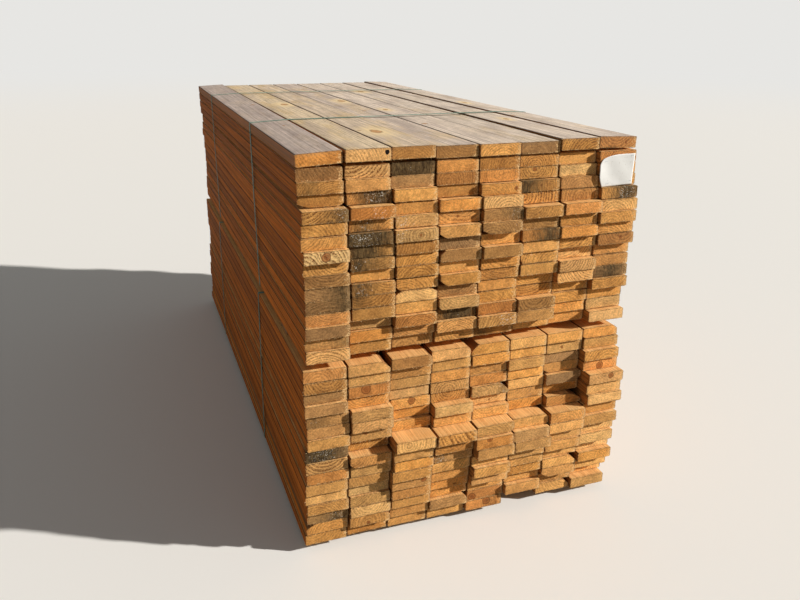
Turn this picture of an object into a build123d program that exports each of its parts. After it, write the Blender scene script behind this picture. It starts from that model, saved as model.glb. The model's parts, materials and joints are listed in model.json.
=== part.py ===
from build123d import *
import math
import os
import random

os.makedirs("parts", exist_ok=True)

# Dressed board: nominal two by six inches, eight feet long, shrunk a little in drying.
# Sizes are in mm. X runs across the boards, Y along them and Z up. The marked end faces -Y.
BOARD_THICKNESS = 38.1
BOARD_WIDTH = 138.0
BOARD_LENGTH = 2438.4
EASED_EDGE = 2.6

# A pack is so many boards across and so many courses high.
COLUMNS = 8
COURSES = 16
# Boards aren't quite flat: every second course rests on one end and gapes at the other.
GAPE = 2.1
NOSE_UP_SHARE = 0.5
# Opening between neighbours in a course: the least there is, and what chance adds.
LEAST_JOINT = 0.5
LOOSE_JOINT = 2.4
LAY_SEED = {"upper": 11, "lower": 23}

# Dry spacer strips lie under each pack, across the boards.
STRIP_THICKNESS = 25.4
STRIP_WIDTH = 88.9
STRIP_INSET = 18.0
STRIP_SETBACK = 330.0

# Two plastic straps go round each pack.
STRAP_WIDTH = 16.0
STRAP_THICKNESS = 0.9
STRAP_CLEARANCE = 0.1
STRAP_LEAST_BEND = 0.04
NEAR_STRAP_SETBACK = 720.0
FAR_STRAP_SETBACK = 594.0

# The paper tag is stapled over the ends of boards of the last column.
TAG_WIDTH = 126.0
TAG_HEIGHT = 104.0
TAG_THICKNESS = 0.4
TAG_INSET = 6.0
TAG_BELOW_TOP = 52.0

# How far each board's end stands out at -Y, a row for each course from the top down.
STANDS_OUT = {
    "upper": (
        (0, 6, 2, -2, 4, 0, 6, 4),
        (-4, -4, -8, -5, -4, -7, -12, 7),
        (5, 6, -6, -1, -1, -8, -5, 6),
        (-4, -1, 10, -8, 10, 3, 4, 7),
        (29, 28, 4, 14, 19, -1, 4, 19),
        (25, 12, 14, 6, 24, 32, 36, 24),
        (28, 26, 30, 28, 33, 15, 20, 32),
        (40, 17, 22, 12, 10, 22, 26, 19),
        (21, 18, 13, 20, 31, 15, 8, 17),
        (22, 5, 15, 6, 10, 8, -9, -4),
        (20, 17, 9, 19, 4, 8, 18, -3),
        (21, 18, 10, 2, -1, -12, 13, 2),
        (21, 17, 7, 17, -2, -14, -17, 7),
        (30, -9, 18, -3, 6, 15, -13, -15),
        (16, -2, -4, 10, 18, 17, -19, -16),
        (24, -11, -18, -10, -16, -20, -28, 4),
    ),
    "lower": (
        (12, 15, 14, -2, -4, -4, -3, -4),
        (11, 5, -5, -10, -7, -12, -13, -5),
        (3, 5, -10, -10, -20, -8, -20, 14),
        (14, -4, -18, -15, -17, -17, -22, 5),
        (5, 20, -19, -21, -11, -22, -10, 38),
        (6, 17, -28, 10, -28, -27, -26, 30),
        (11, 2, -20, -1, -7, -25, -2, 37),
        (10, -14, 53, 58, 47, 33, 44, 21),
        (13, 24, 37, 40, 57, 53, 47, 36),
        (12, 12, 31, 23, 57, 57, 25, 12),
        (11, 9, 32, 21, 28, 29, 31, 25),
        (1, -3, 20, 10, 40, 16, 3, -4),
        (2, 3, 12, 0, 21, 8, 12, 18),
        (-9, 3, 2, -12, -11, -9, 10, -6),
        (-10, 1, -7, 1, -9, 7, -19, -35),
        (-14, -22, -19, -17, -6, -70, -15, -4),
    ),
}
# How far each course lies to the right, from the top down.
COURSE_SHIFT = {
    "upper": (-1, -1, -1, 2, 6, 4, 1, 6, 7, 10, 10, 11, 10, 7, 7, 8),
    "lower": (0, 1, 2, 2, 8, 9, 8, 2, 0, 3, -1, -1, 4, 5, 3, -1),
}
# Mean opening between neighbouring columns, on top of LEAST_JOINT.
COLUMN_JOINTS = {
    "upper": (3.4, 1.8, 1.6, 1.0, 0.0, 0.0, 0.0),
    "lower": (1.8, 1.6, 1.2, 2.2, 0.2, 0.4, 0.4),
}
# The top course has sprung: lift of each board's -Y end, and its roll in degrees.
TOP_LIFT = (1.5, 8.5, 8.5, 3.5, 3.0, 1.0, 5.5, 2.5)
TOP_ROLL = (2.6, 0.0, 0.0, 0.0, 0.0, 0.0, -0.7, -2.4)
# Wane is where the saw met the log's round outside. It narrows towards the far end.
LOG_RADIUS = 110.0
WANE_FACETS = 3
WANE_LEFT_AT_FAR_END = 0.35
# Boards that show it, by pack, course from the top and column. As graders do,
# each corner is given as the share of width and of thickness that is gone.
WANE = {
    ("upper", 4, 1): {"bottom_left": (0.36, 0.34), "bottom_right": (0.11, 0.24)},
    ("upper", 7, 4): {"bottom_left": (0.18, 0.39)},
    ("upper", 7, 5): {"bottom_left": (0.23, 0.42), "bottom_right": (0.10, 0.21)},
    ("upper", 9, 4): {"top_left": (0.13, 0.42)},
    ("upper", 9, 1): {"bottom_right": (0.06, 0.47)},
    ("upper", 10, 6): {"bottom_left": (0.06, 0.52)},
    ("upper", 11, 3): {"bottom_left": (0.10, 0.29)},
    ("upper", 11, 4): {"bottom_left": (0.19, 0.50)},
    ("upper", 12, 3): {"top_left": (0.14, 0.31), "top_right": (0.19, 0.31)},
    ("upper", 12, 4): {"top_right": (0.14, 0.29)},
    ("upper", 13, 4): {"bottom_left": (0.09, 0.24)},
    ("lower", 1, 2): {"top_right": (0.21, 0.66)},
    ("lower", 1, 3): {"top_right": (0.11, 0.26)},
    ("lower", 1, 4): {"top_right": (0.09, 0.29)},
    ("lower", 1, 5): {"top_left": (0.19, 0.66)},
    ("lower", 1, 8): {"top_right": (0.13, 0.34), "bottom_left": (0.09, 0.24)},
    ("lower", 3, 7): {"top_right": (0.09, 0.29)},
    ("lower", 4, 7): {"bottom_left": (0.16, 0.37), "bottom_right": (0.07, 0.34)},
    ("lower", 5, 5): {"top_right": (0.24, 0.76)},
    ("lower", 5, 7): {"bottom_right": (0.16, 0.50)},
    ("lower", 7, 7): {"top_right": (0.36, 0.66)},
    ("lower", 8, 5): {"bottom_right": (0.11, 0.39)},
    ("lower", 8, 6): {"top_right": (0.11, 0.31)},
    ("lower", 9, 2): {"bottom_left": (0.12, 0.39)},
    ("lower", 13, 7): {"top_right": (0.26, 0.76)},
    ("lower", 14, 7): {"bottom_left": (0.21, 0.45)},
    ("lower", 15, 1): {"top_left": (0.24, 0.45)},
    ("lower", 15, 2): {"top_right": (0.19, 0.31)},
    ("lower", 15, 4): {"top_right": (0.12, 0.39)},
    ("lower", 16, 3): {"top_left": (0.16, 0.45)},
    ("lower", 16, 7): {"top_right": (0.24, 0.60)},
}


def eased_outline():
    # Section of a sound board, anticlockwise from the lower left.
    w = BOARD_WIDTH
    t = BOARD_THICKNESS
    e = EASED_EDGE
    return [(e, 0), (w - e, 0), (w, e), (w, t - e), (w - e, t), (e, t), (0, t - e), (0, e)]


def wane_facets(cuts):
    # The round outside as flat facets at the near end. Each has a unit normal into
    # the board, the corner's distance along it and the facet's depth past the corner.
    facets = []
    for corner, (of_width, of_thickness) in cuts.items():
        across = -1 if "right" in corner else 1
        up = -1 if "top" in corner else 1
        corner_x = BOARD_WIDTH if across < 0 else 0
        corner_z = BOARD_THICKNESS if up < 0 else 0
        w = of_width * BOARD_WIDTH
        h = of_thickness * BOARD_THICKNESS
        chord = math.hypot(w, h)
        half_angle = math.asin(chord / 2 / LOG_RADIUS)
        facing = math.atan2(w, h)
        for i in range(WANE_FACETS):
            angle = facing + half_angle * ((2 * i + 1) / WANE_FACETS - 1)
            nx = math.cos(angle) * across
            nz = math.sin(angle) * up
            middle = LOG_RADIUS * math.cos(half_angle)
            reach = LOG_RADIUS * math.cos(half_angle / WANE_FACETS)
            centre_x = w / 2 + middle * math.cos(facing)
            centre_z = h / 2 + middle * math.sin(facing)
            depth = centre_x * math.cos(angle) + centre_z * math.sin(angle) - reach
            facets.append((nx, nz, nx * corner_x + nz * corner_z, depth))
    return facets


def section_at(cuts, share):
    # Outline of a board at a share of its length, anticlockwise.
    outline = eased_outline()
    left = 1 - share * (1 - WANE_LEFT_AT_FAR_END)
    for nx, nz, corner, depth in wane_facets(cuts):
        limit = corner + depth * left
        kept = []
        for i, (bx, bz) in enumerate(outline):
            ax, az = outline[i - 1]
            before = nx * ax + nz * az - limit
            here = nx * bx + nz * bz - limit
            if before * here < 0:
                t = before / (before - here)
                kept.append((ax + t * (bx - ax), az + t * (bz - az)))
            if here >= 0:
                kept.append((bx, bz))
        outline = kept
    return outline


def board_solid(cuts):
    outline = Polyline(*[(x, 0, z) for x, z in eased_outline()], close=True)
    board = extrude(make_face(outline), amount=BOARD_LENGTH, dir=(0, 1, 0))
    for nx, nz, corner, depth in wane_facets(cuts):
        on_facet = (nx * (corner + depth), 0, nz * (corner + depth))
        narrowing = depth * (1 - WANE_LEFT_AT_FAR_END) / BOARD_LENGTH
        board = split(board, Plane(origin=on_facet, z_dir=(nx, narrowing, nz)), keep=Keep.TOP)
    return board


def place_board(x, y, z, pitch, roll, cuts):
    # pitch lowers the far end where it is negative; roll lifts the right side.
    lift = math.sin(math.radians(abs(roll)))
    if roll < 0:
        turn = Location((x + BOARD_WIDTH, y, z), (pitch, -roll, 0))
        shift = Location((-BOARD_WIDTH, 0, 0))
    else:
        turn = Location((x, y, z), (pitch, -roll, 0))
        shift = Location((0, 0, 0))
    return {"at": turn * shift, "cuts": cuts, "reach": BOARD_THICKNESS * lift}


def corners_at(board, station):
    # A placed board's outline where it crosses a plane of constant Y.
    along = station - board["at"].position.Y
    section = section_at(board["cuts"], along / BOARD_LENGTH)
    points = [(board["at"] * Location((px, along, pz))).position for px, pz in section]
    return [(p.X, p.Z) for p in points]


def end_reach(board):
    # The Y that the board's near end comes forward to.
    section = section_at(board["cuts"], 0)
    return min((board["at"] * Location((px, 0, pz))).position.Y for px, pz in section)


def convex_outline(points):
    # Monotone chain, anticlockwise, without points that hardly turn the outline.
    def half(run):
        chain = []
        for p in run:
            while len(chain) > 1:
                (ax, az), (bx, bz) = chain[-2], chain[-1]
                turn = (bx - ax) * (p[1] - az) - (bz - az) * (p[0] - ax)
                if turn > STRAP_LEAST_BEND * math.dist(chain[-2], p):
                    break
                chain.pop()
            chain.append(p)
        return chain[:-1]

    ordered = sorted(set(points))
    return half(ordered) + half(ordered[::-1])


def grown(outline, distance):
    # The outline moved outwards by a distance, with mitred corners.
    out = []
    count = len(outline)
    for i in range(count):
        ax, az = outline[i - 1]
        bx, bz = outline[i]
        cx, cz = outline[(i + 1) % count]
        first = math.dist((ax, az), (bx, bz))
        second = math.dist((bx, bz), (cx, cz))
        n1 = ((bz - az) / first, -(bx - ax) / first)
        n2 = ((cz - bz) / second, -(cx - bx) / second)
        scale = distance / (1 + n1[0] * n2[0] + n1[1] * n2[1])
        out.append((bx + (n1[0] + n2[0]) * scale, bz + (n1[1] + n2[1]) * scale))
    return out


def closed_face(outline, y):
    return make_face(Polyline(*[(x, y, z) for x, z in outline], close=True))


def pack_boards(pack, base):
    # Rows of placed boards from the bottom course up, the pack's top and its width.
    rng = random.Random(LAY_SEED[pack])
    slope = math.degrees(math.asin(GAPE / BOARD_LENGTH))
    joints = COLUMN_JOINTS[pack]
    mean_joint = LEAST_JOINT + LOOSE_JOINT / 2
    width = COLUMNS * BOARD_WIDTH
    width += sum(mean_joint + joints[j % len(joints)] for j in range(COLUMNS - 1))
    rows = []
    for course in range(COURSES):
        row = COURSES - 1 - course
        outs = STANDS_OUT[pack][row % len(STANDS_OUT[pack])]
        shift = COURSE_SHIFT[pack][row % len(COURSE_SHIFT[pack])]
        pair, second = divmod(course, 2)
        level = base + pair * (2 * BOARD_THICKNESS + GAPE)
        level += second * (BOARD_THICKNESS + GAPE)
        sprung = pack == "upper" and row == 0
        x = -width / 2 + shift
        boards = []
        for column in range(COLUMNS):
            y = -BOARD_LENGTH / 2 - outs[column % len(outs)]
            z = level
            pitch = 0.0
            roll = 0.0
            # The sprung boards bear on the rear ends of the course below them.
            nose_up = rng.random() < NOSE_UP_SHARE and not (pack == "upper" and row == 1)
            if sprung:
                lift = TOP_LIFT[column % len(TOP_LIFT)]
                roll = TOP_ROLL[column % len(TOP_ROLL)]
                z += lift
                pitch = -math.degrees(math.asin(lift / BOARD_LENGTH))
            elif second == 0 and nose_up:
                z += GAPE
                pitch = -slope
            elif second == 0:
                pitch = slope
            cuts = WANE.get((pack, row + 1, column + 1), {})
            board = place_board(x, y, z, pitch, roll, cuts)
            boards.append(board)
            joint = joints[column % len(joints)] + LEAST_JOINT + rng.random() * LOOSE_JOINT
            x += BOARD_WIDTH + joint + board["reach"] * (0 < column < COLUMNS - 1)
        rows.append(boards)
    height = COURSES * BOARD_THICKNESS + math.ceil(COURSES / 2) * GAPE
    return rows, base + height, width


def export_node(name, solids):
    export_step(Compound(children=solids, label=name), f"parts/{name}.step")


shapes = {}
base = 0.0
for pack in ("lower", "upper"):
    strip_base = base
    base += STRIP_THICKNESS
    rows, top, width = pack_boards(pack, base)

    # Spacer strips
    strip_length = width - 2 * STRIP_INSET
    outer_strip = BOARD_LENGTH / 2 - STRIP_SETBACK
    for number, station in enumerate((-outer_strip, 0, outer_strip), 1):
        middle = Location((0, station, strip_base + STRIP_THICKNESS / 2))
        strip = middle * Box(strip_length, STRIP_WIDTH, STRIP_THICKNESS)
        export_node(f"{pack}_strip_{number}", [strip])

    # Boards, a node for each course
    for course, boards in enumerate(rows, 1):
        solids = []
        for board in boards:
            key = tuple(sorted(board["cuts"].items()))
            if key not in shapes:
                shapes[key] = board_solid(board["cuts"])
            solids.append(board["at"] * shapes[key])
        export_node(f"{pack}_course_{course:02d}", solids)

    # Straps, drawn tight over the outermost corners
    near_strap = NEAR_STRAP_SETBACK - BOARD_LENGTH / 2
    far_strap = BOARD_LENGTH / 2 - FAR_STRAP_SETBACK
    for number, station in enumerate((near_strap, far_strap), 1):
        near = station - STRAP_WIDTH / 2
        far = station + STRAP_WIDTH / 2
        points = [p for row in rows for board in row for y in (near, far) for p in corners_at(board, y)]
        inner = grown(convex_outline(points), STRAP_CLEARANCE)
        outer = grown(inner, STRAP_THICKNESS)
        band = closed_face(outer, near) - closed_face(inner, near)
        export_node(f"{pack}_strap_{number}", [extrude(band, amount=STRAP_WIDTH, dir=(0, 1, 0))])

    # Tag on the upper pack
    if pack == "upper":
        tag_top = top - TAG_BELOW_TOP
        lowest = tag_top - TAG_HEIGHT - BOARD_THICKNESS
        backing = [row[-1] for row in rows if lowest < row[-1]["at"].position.Z < tag_top]
        front = min(end_reach(board) for board in backing)
        left = sum(board["at"].position.X for board in backing) / len(backing) + TAG_INSET
        middle = (left + TAG_WIDTH / 2, front - TAG_THICKNESS / 2, tag_top - TAG_HEIGHT / 2)
        place = Location(middle)
        export_node("tag", [place * Box(TAG_WIDTH, TAG_THICKNESS, TAG_HEIGHT)])
    base = top
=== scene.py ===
import json
import math
import random

import bmesh
import bpy
from mathutils import Matrix, Vector

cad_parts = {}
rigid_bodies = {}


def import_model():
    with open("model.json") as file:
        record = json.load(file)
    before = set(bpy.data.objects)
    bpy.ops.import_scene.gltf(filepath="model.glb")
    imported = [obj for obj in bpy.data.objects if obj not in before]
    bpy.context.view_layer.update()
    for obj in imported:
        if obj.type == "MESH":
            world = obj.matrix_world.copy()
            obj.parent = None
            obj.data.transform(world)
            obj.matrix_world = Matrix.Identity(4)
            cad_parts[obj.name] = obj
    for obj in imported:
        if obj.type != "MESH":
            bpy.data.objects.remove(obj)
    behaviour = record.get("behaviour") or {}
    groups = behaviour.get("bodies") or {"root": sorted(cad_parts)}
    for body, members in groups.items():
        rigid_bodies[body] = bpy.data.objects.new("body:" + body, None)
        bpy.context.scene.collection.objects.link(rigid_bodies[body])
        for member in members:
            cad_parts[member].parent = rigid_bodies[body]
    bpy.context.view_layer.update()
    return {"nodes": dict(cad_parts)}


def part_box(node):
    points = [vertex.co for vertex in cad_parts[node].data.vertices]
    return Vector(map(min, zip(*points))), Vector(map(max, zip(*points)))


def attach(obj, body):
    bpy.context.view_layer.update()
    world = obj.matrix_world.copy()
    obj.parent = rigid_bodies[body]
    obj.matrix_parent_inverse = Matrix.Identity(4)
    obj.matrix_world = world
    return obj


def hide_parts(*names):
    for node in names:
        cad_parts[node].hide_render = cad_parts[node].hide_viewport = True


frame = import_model()
scene = bpy.context.scene

# Dressed boards
# Softwood planed to section on four sides and trimmed square by a saw at both ends.
# The ends show growth rings, torn fibres and mould. The top course has bleached outdoors.
PACKS = ("lower", "upper")
COURSES = 16
COLUMNS = 8
EDGE_ROUNDING = 0.0017
END_BREAK = 0.0009
FACE_STEP = 0.010
CAP_RINGS = (0.4, 0.9)
STATIONS = (0.006, 0.03, 0.12, 0.33, 0.6, 0.85, 0.97, 0.994)
HOLLOWING = 0.0004
CHIP_DEPTH = 0.0022
FIBRES_PER_SQUARE_METRE = 110000
FIBRE_LENGTH = 0.005
FIBRE_RADIUS = 0.00035
LAY_SEED = 7

# What the tagged ends look like, by pack, course from the top and column.
GREYED = {
    ("upper", 2, 1): 0.5, ("upper", 3, 3): 0.7, ("upper", 11, 1): 0.8, ("upper", 12, 1): 0.7,
    ("upper", 10, 1): 0.5, ("upper", 14, 1): 0.8, ("upper", 8, 4): 0.9, ("upper", 9, 4): 0.5,
    ("upper", 12, 4): 0.6, ("upper", 1, 6): 0.7, ("upper", 4, 7): 0.5, ("upper", 7, 5): 0.5,
    ("upper", 6, 5): 0.5, ("upper", 9, 5): 0.4, ("upper", 1, 4): 0.4, ("upper", 1, 8): 0.4,
    ("upper", 7, 4): 0.3, ("upper", 3, 2): 0.3, ("upper", 15, 6): 0.3, ("upper", 14, 6): 0.4,
    ("upper", 9, 8): 0.3, ("upper", 11, 8): 0.4, ("upper", 12, 8): 0.8, ("upper", 15, 1): 0.5,
    ("lower", 3, 1): 0.6, ("lower", 4, 1): 0.7, ("lower", 5, 1): 0.6, ("lower", 8, 1): 0.9,
    ("lower", 3, 7): 0.8, ("lower", 4, 7): 0.4, ("lower", 5, 7): 0.9, ("lower", 6, 1): 0.4,
    ("lower", 1, 3): 0.4, ("lower", 9, 6): 0.5, ("lower", 15, 4): 0.5, ("lower", 7, 7): 0.3,
    ("lower", 10, 4): 0.4, ("lower", 14, 1): 0.5, ("lower", 10, 6): 0.2, ("lower", 10, 5): 0.3,
}
MOULDED = {
    ("upper", 2, 3): 1.0, ("upper", 7, 2): 1.0, ("upper", 4, 2): 0.7, ("upper", 8, 2): 0.75,
    ("upper", 9, 2): 0.5, ("upper", 11, 2): 0.45, ("upper", 12, 2): 0.25, ("upper", 5, 1): 0.4,
    ("upper", 14, 4): 0.8, ("upper", 5, 8): 0.65, ("upper", 12, 8): 0.5, ("upper", 6, 5): 0.35,
    ("upper", 8, 6): 0.6, ("upper", 11, 1): 0.45, ("upper", 12, 1): 0.35, ("upper", 15, 1): 0.25,
    ("upper", 4, 6): 0.6, ("upper", 6, 2): 0.4, ("upper", 16, 5): 0.35, ("upper", 3, 1): 0.2,
    ("lower", 8, 1): 0.75, ("lower", 14, 1): 0.45, ("lower", 5, 1): 0.25, ("lower", 5, 5): 0.25,
    ("lower", 10, 4): 0.2, ("lower", 16, 5): 0.2,
}
SPECKED = {
    ("upper", 4, 2): 0.7, ("upper", 5, 2): 0.45, ("upper", 6, 2): 0.4, ("upper", 7, 2): 0.8,
    ("upper", 6, 3): 0.45, ("upper", 7, 3): 0.5, ("upper", 5, 1): 0.5, ("upper", 15, 5): 0.8,
    ("upper", 5, 8): 0.7, ("upper", 10, 6): 0.35, ("upper", 9, 2): 0.45, ("upper", 11, 2): 0.4,
    ("upper", 6, 5): 0.4, ("upper", 7, 5): 0.3, ("lower", 8, 1): 0.85, ("lower", 14, 1): 0.6,
    ("lower", 5, 1): 0.2, ("lower", 10, 4): 0.4, ("lower", 5, 5): 0.4, ("upper", 2, 3): 0.15,
    ("upper", 14, 4): 0.2, ("lower", 6, 6): 0.3,
}
# Where the mould and the specks gather: at the left of the end or at its right, in mm.
GATHERED_AT = {
    ("upper", 5, 1): 55, ("upper", 11, 1): 45, ("upper", 12, 1): 50, ("upper", 11, 2): -40,
    ("upper", 12, 2): -50, ("upper", 9, 2): -45, ("upper", 6, 3): -45, ("upper", 7, 3): -45,
    ("upper", 15, 5): 40, ("upper", 4, 6): -58, ("upper", 6, 5): 50, ("upper", 7, 5): 50,
    ("upper", 8, 6): 30, ("upper", 15, 1): 50, ("upper", 5, 2): 10, ("upper", 10, 6): -30,
    ("lower", 14, 1): 30, ("lower", 5, 5): 50, ("lower", 8, 1): -20, ("lower", 10, 4): -50,
    ("lower", 6, 6): 20, ("upper", 3, 1): -30, ("upper", 16, 5): -50, ("lower", 5, 1): -40,
}
REDDISH = {
    ("upper", 5, 2): 0.5, ("upper", 3, 4): 0.4, ("upper", 1, 8): 0.5, ("upper", 9, 8): 0.4,
    ("upper", 14, 5): 0.5, ("upper", 8, 6): 0.3, ("upper", 13, 1): 0.4, ("upper", 2, 4): 0.3,
    ("upper", 6, 7): 0.4, ("upper", 3, 5): 0.4, ("upper", 14, 3): 0.4, ("upper", 2, 8): 0.5,
    ("upper", 1, 1): 0.3, ("upper", 2, 1): 0.3,
    ("lower", 1, 1): 0.4, ("lower", 3, 2): 0.5, ("lower", 4, 8): 0.4, ("lower", 9, 5): 0.3,
    ("lower", 15, 5): 0.5, ("lower", 16, 5): 0.5, ("lower", 4, 5): 0.4, ("lower", 5, 8): 0.3,
    ("lower", 13, 4): 0.3, ("lower", 10, 1): 0.4,
}
PALE = {
    ("upper", 1, 2): 0.6, ("upper", 8, 1): 0.9, ("upper", 16, 1): 0.5, ("upper", 5, 5): 0.6,
    ("upper", 3, 7): 0.6, ("upper", 11, 7): 0.5, ("upper", 12, 7): 0.4, ("upper", 15, 8): 0.5,
    ("upper", 16, 8): 0.7, ("upper", 2, 2): 0.5, ("upper", 15, 4): 0.3, ("upper", 12, 3): 0.5,
    ("upper", 10, 7): 0.5, ("upper", 6, 3): 0.4, ("upper", 7, 3): 0.5, ("upper", 13, 4): 0.4,
    ("upper", 6, 8): 0.4, ("upper", 14, 2): 0.4, ("lower", 1, 1): 0.3, ("lower", 4, 3): 0.6,
    ("lower", 1, 4): 0.5, ("lower", 5, 8): 0.6, ("lower", 6, 8): 0.4, ("lower", 7, 8): 0.5,
    ("lower", 10, 8): 0.5, ("lower", 11, 8): 0.5, ("lower", 12, 8): 0.6, ("lower", 6, 2): 0.4,
    ("lower", 5, 2): 0.4, ("lower", 12, 2): 0.6, ("lower", 14, 2): 0.5, ("lower", 6, 5): 0.5,
    ("lower", 5, 5): 0.5, ("lower", 8, 3): 0.4, ("lower", 8, 5): 0.3, ("lower", 11, 4): 0.2,
    ("lower", 2, 2): 0.3, ("lower", 6, 4): 0.5, ("lower", 5, 6): 0.3, ("lower", 9, 7): 0.3,
}
BOLD_RINGS = {
    ("upper", 2, 2): 1.0, ("upper", 8, 1): 1.0, ("upper", 5, 1): 1.0, ("upper", 7, 1): 0.6,
    ("upper", 5, 6): 1.0, ("upper", 1, 7): 0.85, ("upper", 2, 6): 0.8, ("upper", 3, 6): 0.8,
    ("upper", 1, 2): 0.5, ("upper", 1, 5): 0.6, ("upper", 2, 5): 0.6, ("upper", 10, 1): 0.7,
    ("upper", 5, 7): 0.6, ("upper", 4, 7): 0.4, ("upper", 6, 8): 0.6, ("upper", 13, 4): 0.5,
    ("upper", 6, 6): 0.5, ("upper", 4, 2): 0.6, ("upper", 8, 3): 0.5, ("upper", 11, 2): 0.6,
    ("lower", 9, 1): 1.0, ("lower", 2, 1): 0.7, ("lower", 8, 4): 0.9, ("lower", 8, 3): 0.6,
    ("lower", 4, 4): 0.7, ("lower", 5, 4): 0.7, ("lower", 3, 8): 0.6, ("lower", 15, 2): 0.6,
    ("lower", 14, 2): 0.5, ("lower", 4, 2): 0.5, ("lower", 3, 2): 0.4, ("lower", 1, 1): 0.5,
    ("lower", 13, 1): 0.6, ("lower", 8, 2): 0.5, ("lower", 8, 5): 0.5, ("lower", 16, 1): 0.4,
    ("upper", 3, 2): 0.06, ("upper", 4, 3): 0.12, ("upper", 10, 2): 0.05, ("upper", 13, 2): 0.06,
    ("upper", 5, 3): 0.1, ("upper", 9, 4): 0.08, ("upper", 10, 4): 0.08, ("upper", 11, 4): 0.1,
    ("upper", 4, 4): 0.1, ("upper", 5, 4): 0.15, ("upper", 9, 5): 0.05, ("upper", 2, 7): 0.1,
    ("upper", 3, 3): 0.2, ("upper", 11, 6): 0.08, ("upper", 16, 8): 0.08, ("upper", 9, 6): 0.1,
    ("upper", 12, 5): 0.1, ("lower", 9, 3): 0.08, ("lower", 10, 3): 0.1, ("lower", 1, 2): 0.15,
    ("lower", 1, 7): 0.1, ("lower", 2, 6): 0.1, ("lower", 9, 7): 0.1, ("lower", 1, 8): 0.1,
}
# The middle of the rings from the board's own middle, across and up, and their spacing, in mm.
PITH = {
    ("upper", 1, 5): (10, -45, 8), ("upper", 1, 7): (60, -50, 9), ("upper", 2, 2): (-55, 70, 11),
    ("upper", 1, 2): (-90, -40, 9), ("upper", 2, 5): (45, -20, 8), ("upper", 2, 6): (-15, -18, 7),
    ("upper", 3, 6): (-15, 20, 7), ("upper", 3, 4): (-28, -6, 8), ("upper", 3, 5): (5, 8, 8),
    ("upper", 4, 7): (5, -25, 9), ("upper", 5, 7): (0, -8, 9), ("upper", 5, 6): (-60, 5, 10),
    ("upper", 7, 3): (12, 0, 9), ("upper", 6, 6): (-50, 40, 8), ("upper", 6, 8): (-20, -45, 9),
    ("upper", 8, 1): (-80, -60, 11), ("upper", 10, 1): (5, 55, 9), ("upper", 11, 1): (5, 95, 9),
    ("upper", 7, 1): (-90, 60, 9), ("upper", 5, 1): (-80, 90, 9), ("upper", 6, 5): (-20, -30, 7),
    ("upper", 8, 3): (-110, 20, 10), ("upper", 14, 4): (0, 60, 8), ("upper", 13, 4): (10, 60, 8),
    ("upper", 16, 1): (-20, -70, 9), ("upper", 15, 2): (30, -70, 7), ("upper", 16, 7): (0, -60, 7),
    ("upper", 11, 7): (-60, 40, 9), ("upper", 12, 7): (70, 60, 9), ("upper", 4, 6): (-58, 0, 8),
    ("lower", 1, 1): (-20, -22, 8), ("lower", 2, 1): (8, 34, 9), ("lower", 3, 2): (-12, 6, 9),
    ("lower", 4, 2): (-12, 46, 9), ("lower", 2, 4): (8, 0, 8), ("lower", 4, 4): (-6, -19, 8),
    ("lower", 5, 4): (-6, 20, 8), ("lower", 8, 3): (-25, 6, 9), ("lower", 8, 4): (95, 60, 13),
    ("lower", 9, 1): (-5, 60, 11), ("lower", 3, 8): (25, -45, 10), ("lower", 2, 3): (20, -60, 9),
    ("lower", 15, 2): (-6, -10, 9), ("lower", 14, 2): (-6, 30, 9), ("lower", 16, 1): (-40, 50, 9),
    ("lower", 10, 8): (0, 12, 9), ("lower", 11, 8): (0, 52, 9), ("lower", 13, 1): (-50, -70, 8),
    ("lower", 3, 5): (0, 45, 10), ("lower", 6, 2): (10, -50, 9), ("lower", 5, 2): (10, -90, 9),
    ("lower", 15, 7): (30, 60, 8), ("lower", 8, 8): (10, 60, 9), ("lower", 13, 7): (60, -50, 10),
}
# Knots cut through by the trimming saw: place on the end and radius, in mm.
END_KNOTS = {
    ("upper", 8, 1): (-2, 2, 14), ("upper", 1, 2): (56, 6, -6.5), ("upper", 4, 5): (50, 0, 6),
    ("upper", 9, 8): (18, 5, 6), ("upper", 3, 6): (-16, 12, 6), ("upper", 6, 4): (-5, 4, 4),
    ("upper", 4, 6): (2, 2, 3), ("upper", 7, 3): (12, 0, 3),
    ("upper", 1, 8): (30, 0, 4), ("lower", 5, 3): (4, 6, 13),
    ("lower", 3, 2): (-12, 6, 16), ("lower", 12, 3): (42, 6, 9), ("lower", 6, 5): (5, -6, 4),
    ("lower", 4, 8): (-2, -4, 14), ("lower", 5, 8): (18, 6, 11),
    ("lower", 15, 5): (-50, -6, 14), ("lower", 16, 5): (10, 6, 15), ("lower", 2, 7): (-10, 0, 5),
    ("lower", 9, 5): (-20, 14, 9), ("lower", 7, 2): (-20, 12, 8), ("lower", 13, 4): (20, -10, 4),
    ("lower", 15, 2): (-6, -10, 5),
}
# The weathered top boards from left to right: tone, yellow wood, and a knot's place and radius in mm.
TOP_TONES = ("#C2B1A6", "#E2CBAA", "#DEC8AE", "#DAC7B6", "#EAD7C4", "#E6D4C1", "#E8D6C4", "#E8D7C6")
TOP_YELLOWED = (0.15, 0.65, 0.6, 0.5, 0.15, 0.35, 0.15, 0.25)
TOP_KNOTS = ((26, 575, 4), (32, 1281, 14), (-6, 329, 17), (39, 1369, 15), (-27, 980, 9), (-4, 1829, 13),
             (12, 520, 8), (-20, 1110, 9))
# How bright a pack's ends are: the upper pack's have been out in the weather longer, and the ends
# grow a little brighter from left to right.
BOARD_LEVEL = {"upper": (0.62, 1.08), "lower": (0.72, 1.08)}
BRIGHTER_BY_COLUMN = 0.027
# How far the rings of a board that isn't named above stand out.
RING_CONTRAST = {"upper": (0.25, 0.8), "lower": (0.12, 0.5)}


def ordered(points):
    # Points of a convex outline, anticlockwise.
    mid_x = sum(p[0] for p in points) / len(points)
    mid_z = sum(p[1] for p in points) / len(points)
    return sorted(points, key=lambda p: math.atan2(p[1] - mid_z, p[0] - mid_x))


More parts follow.
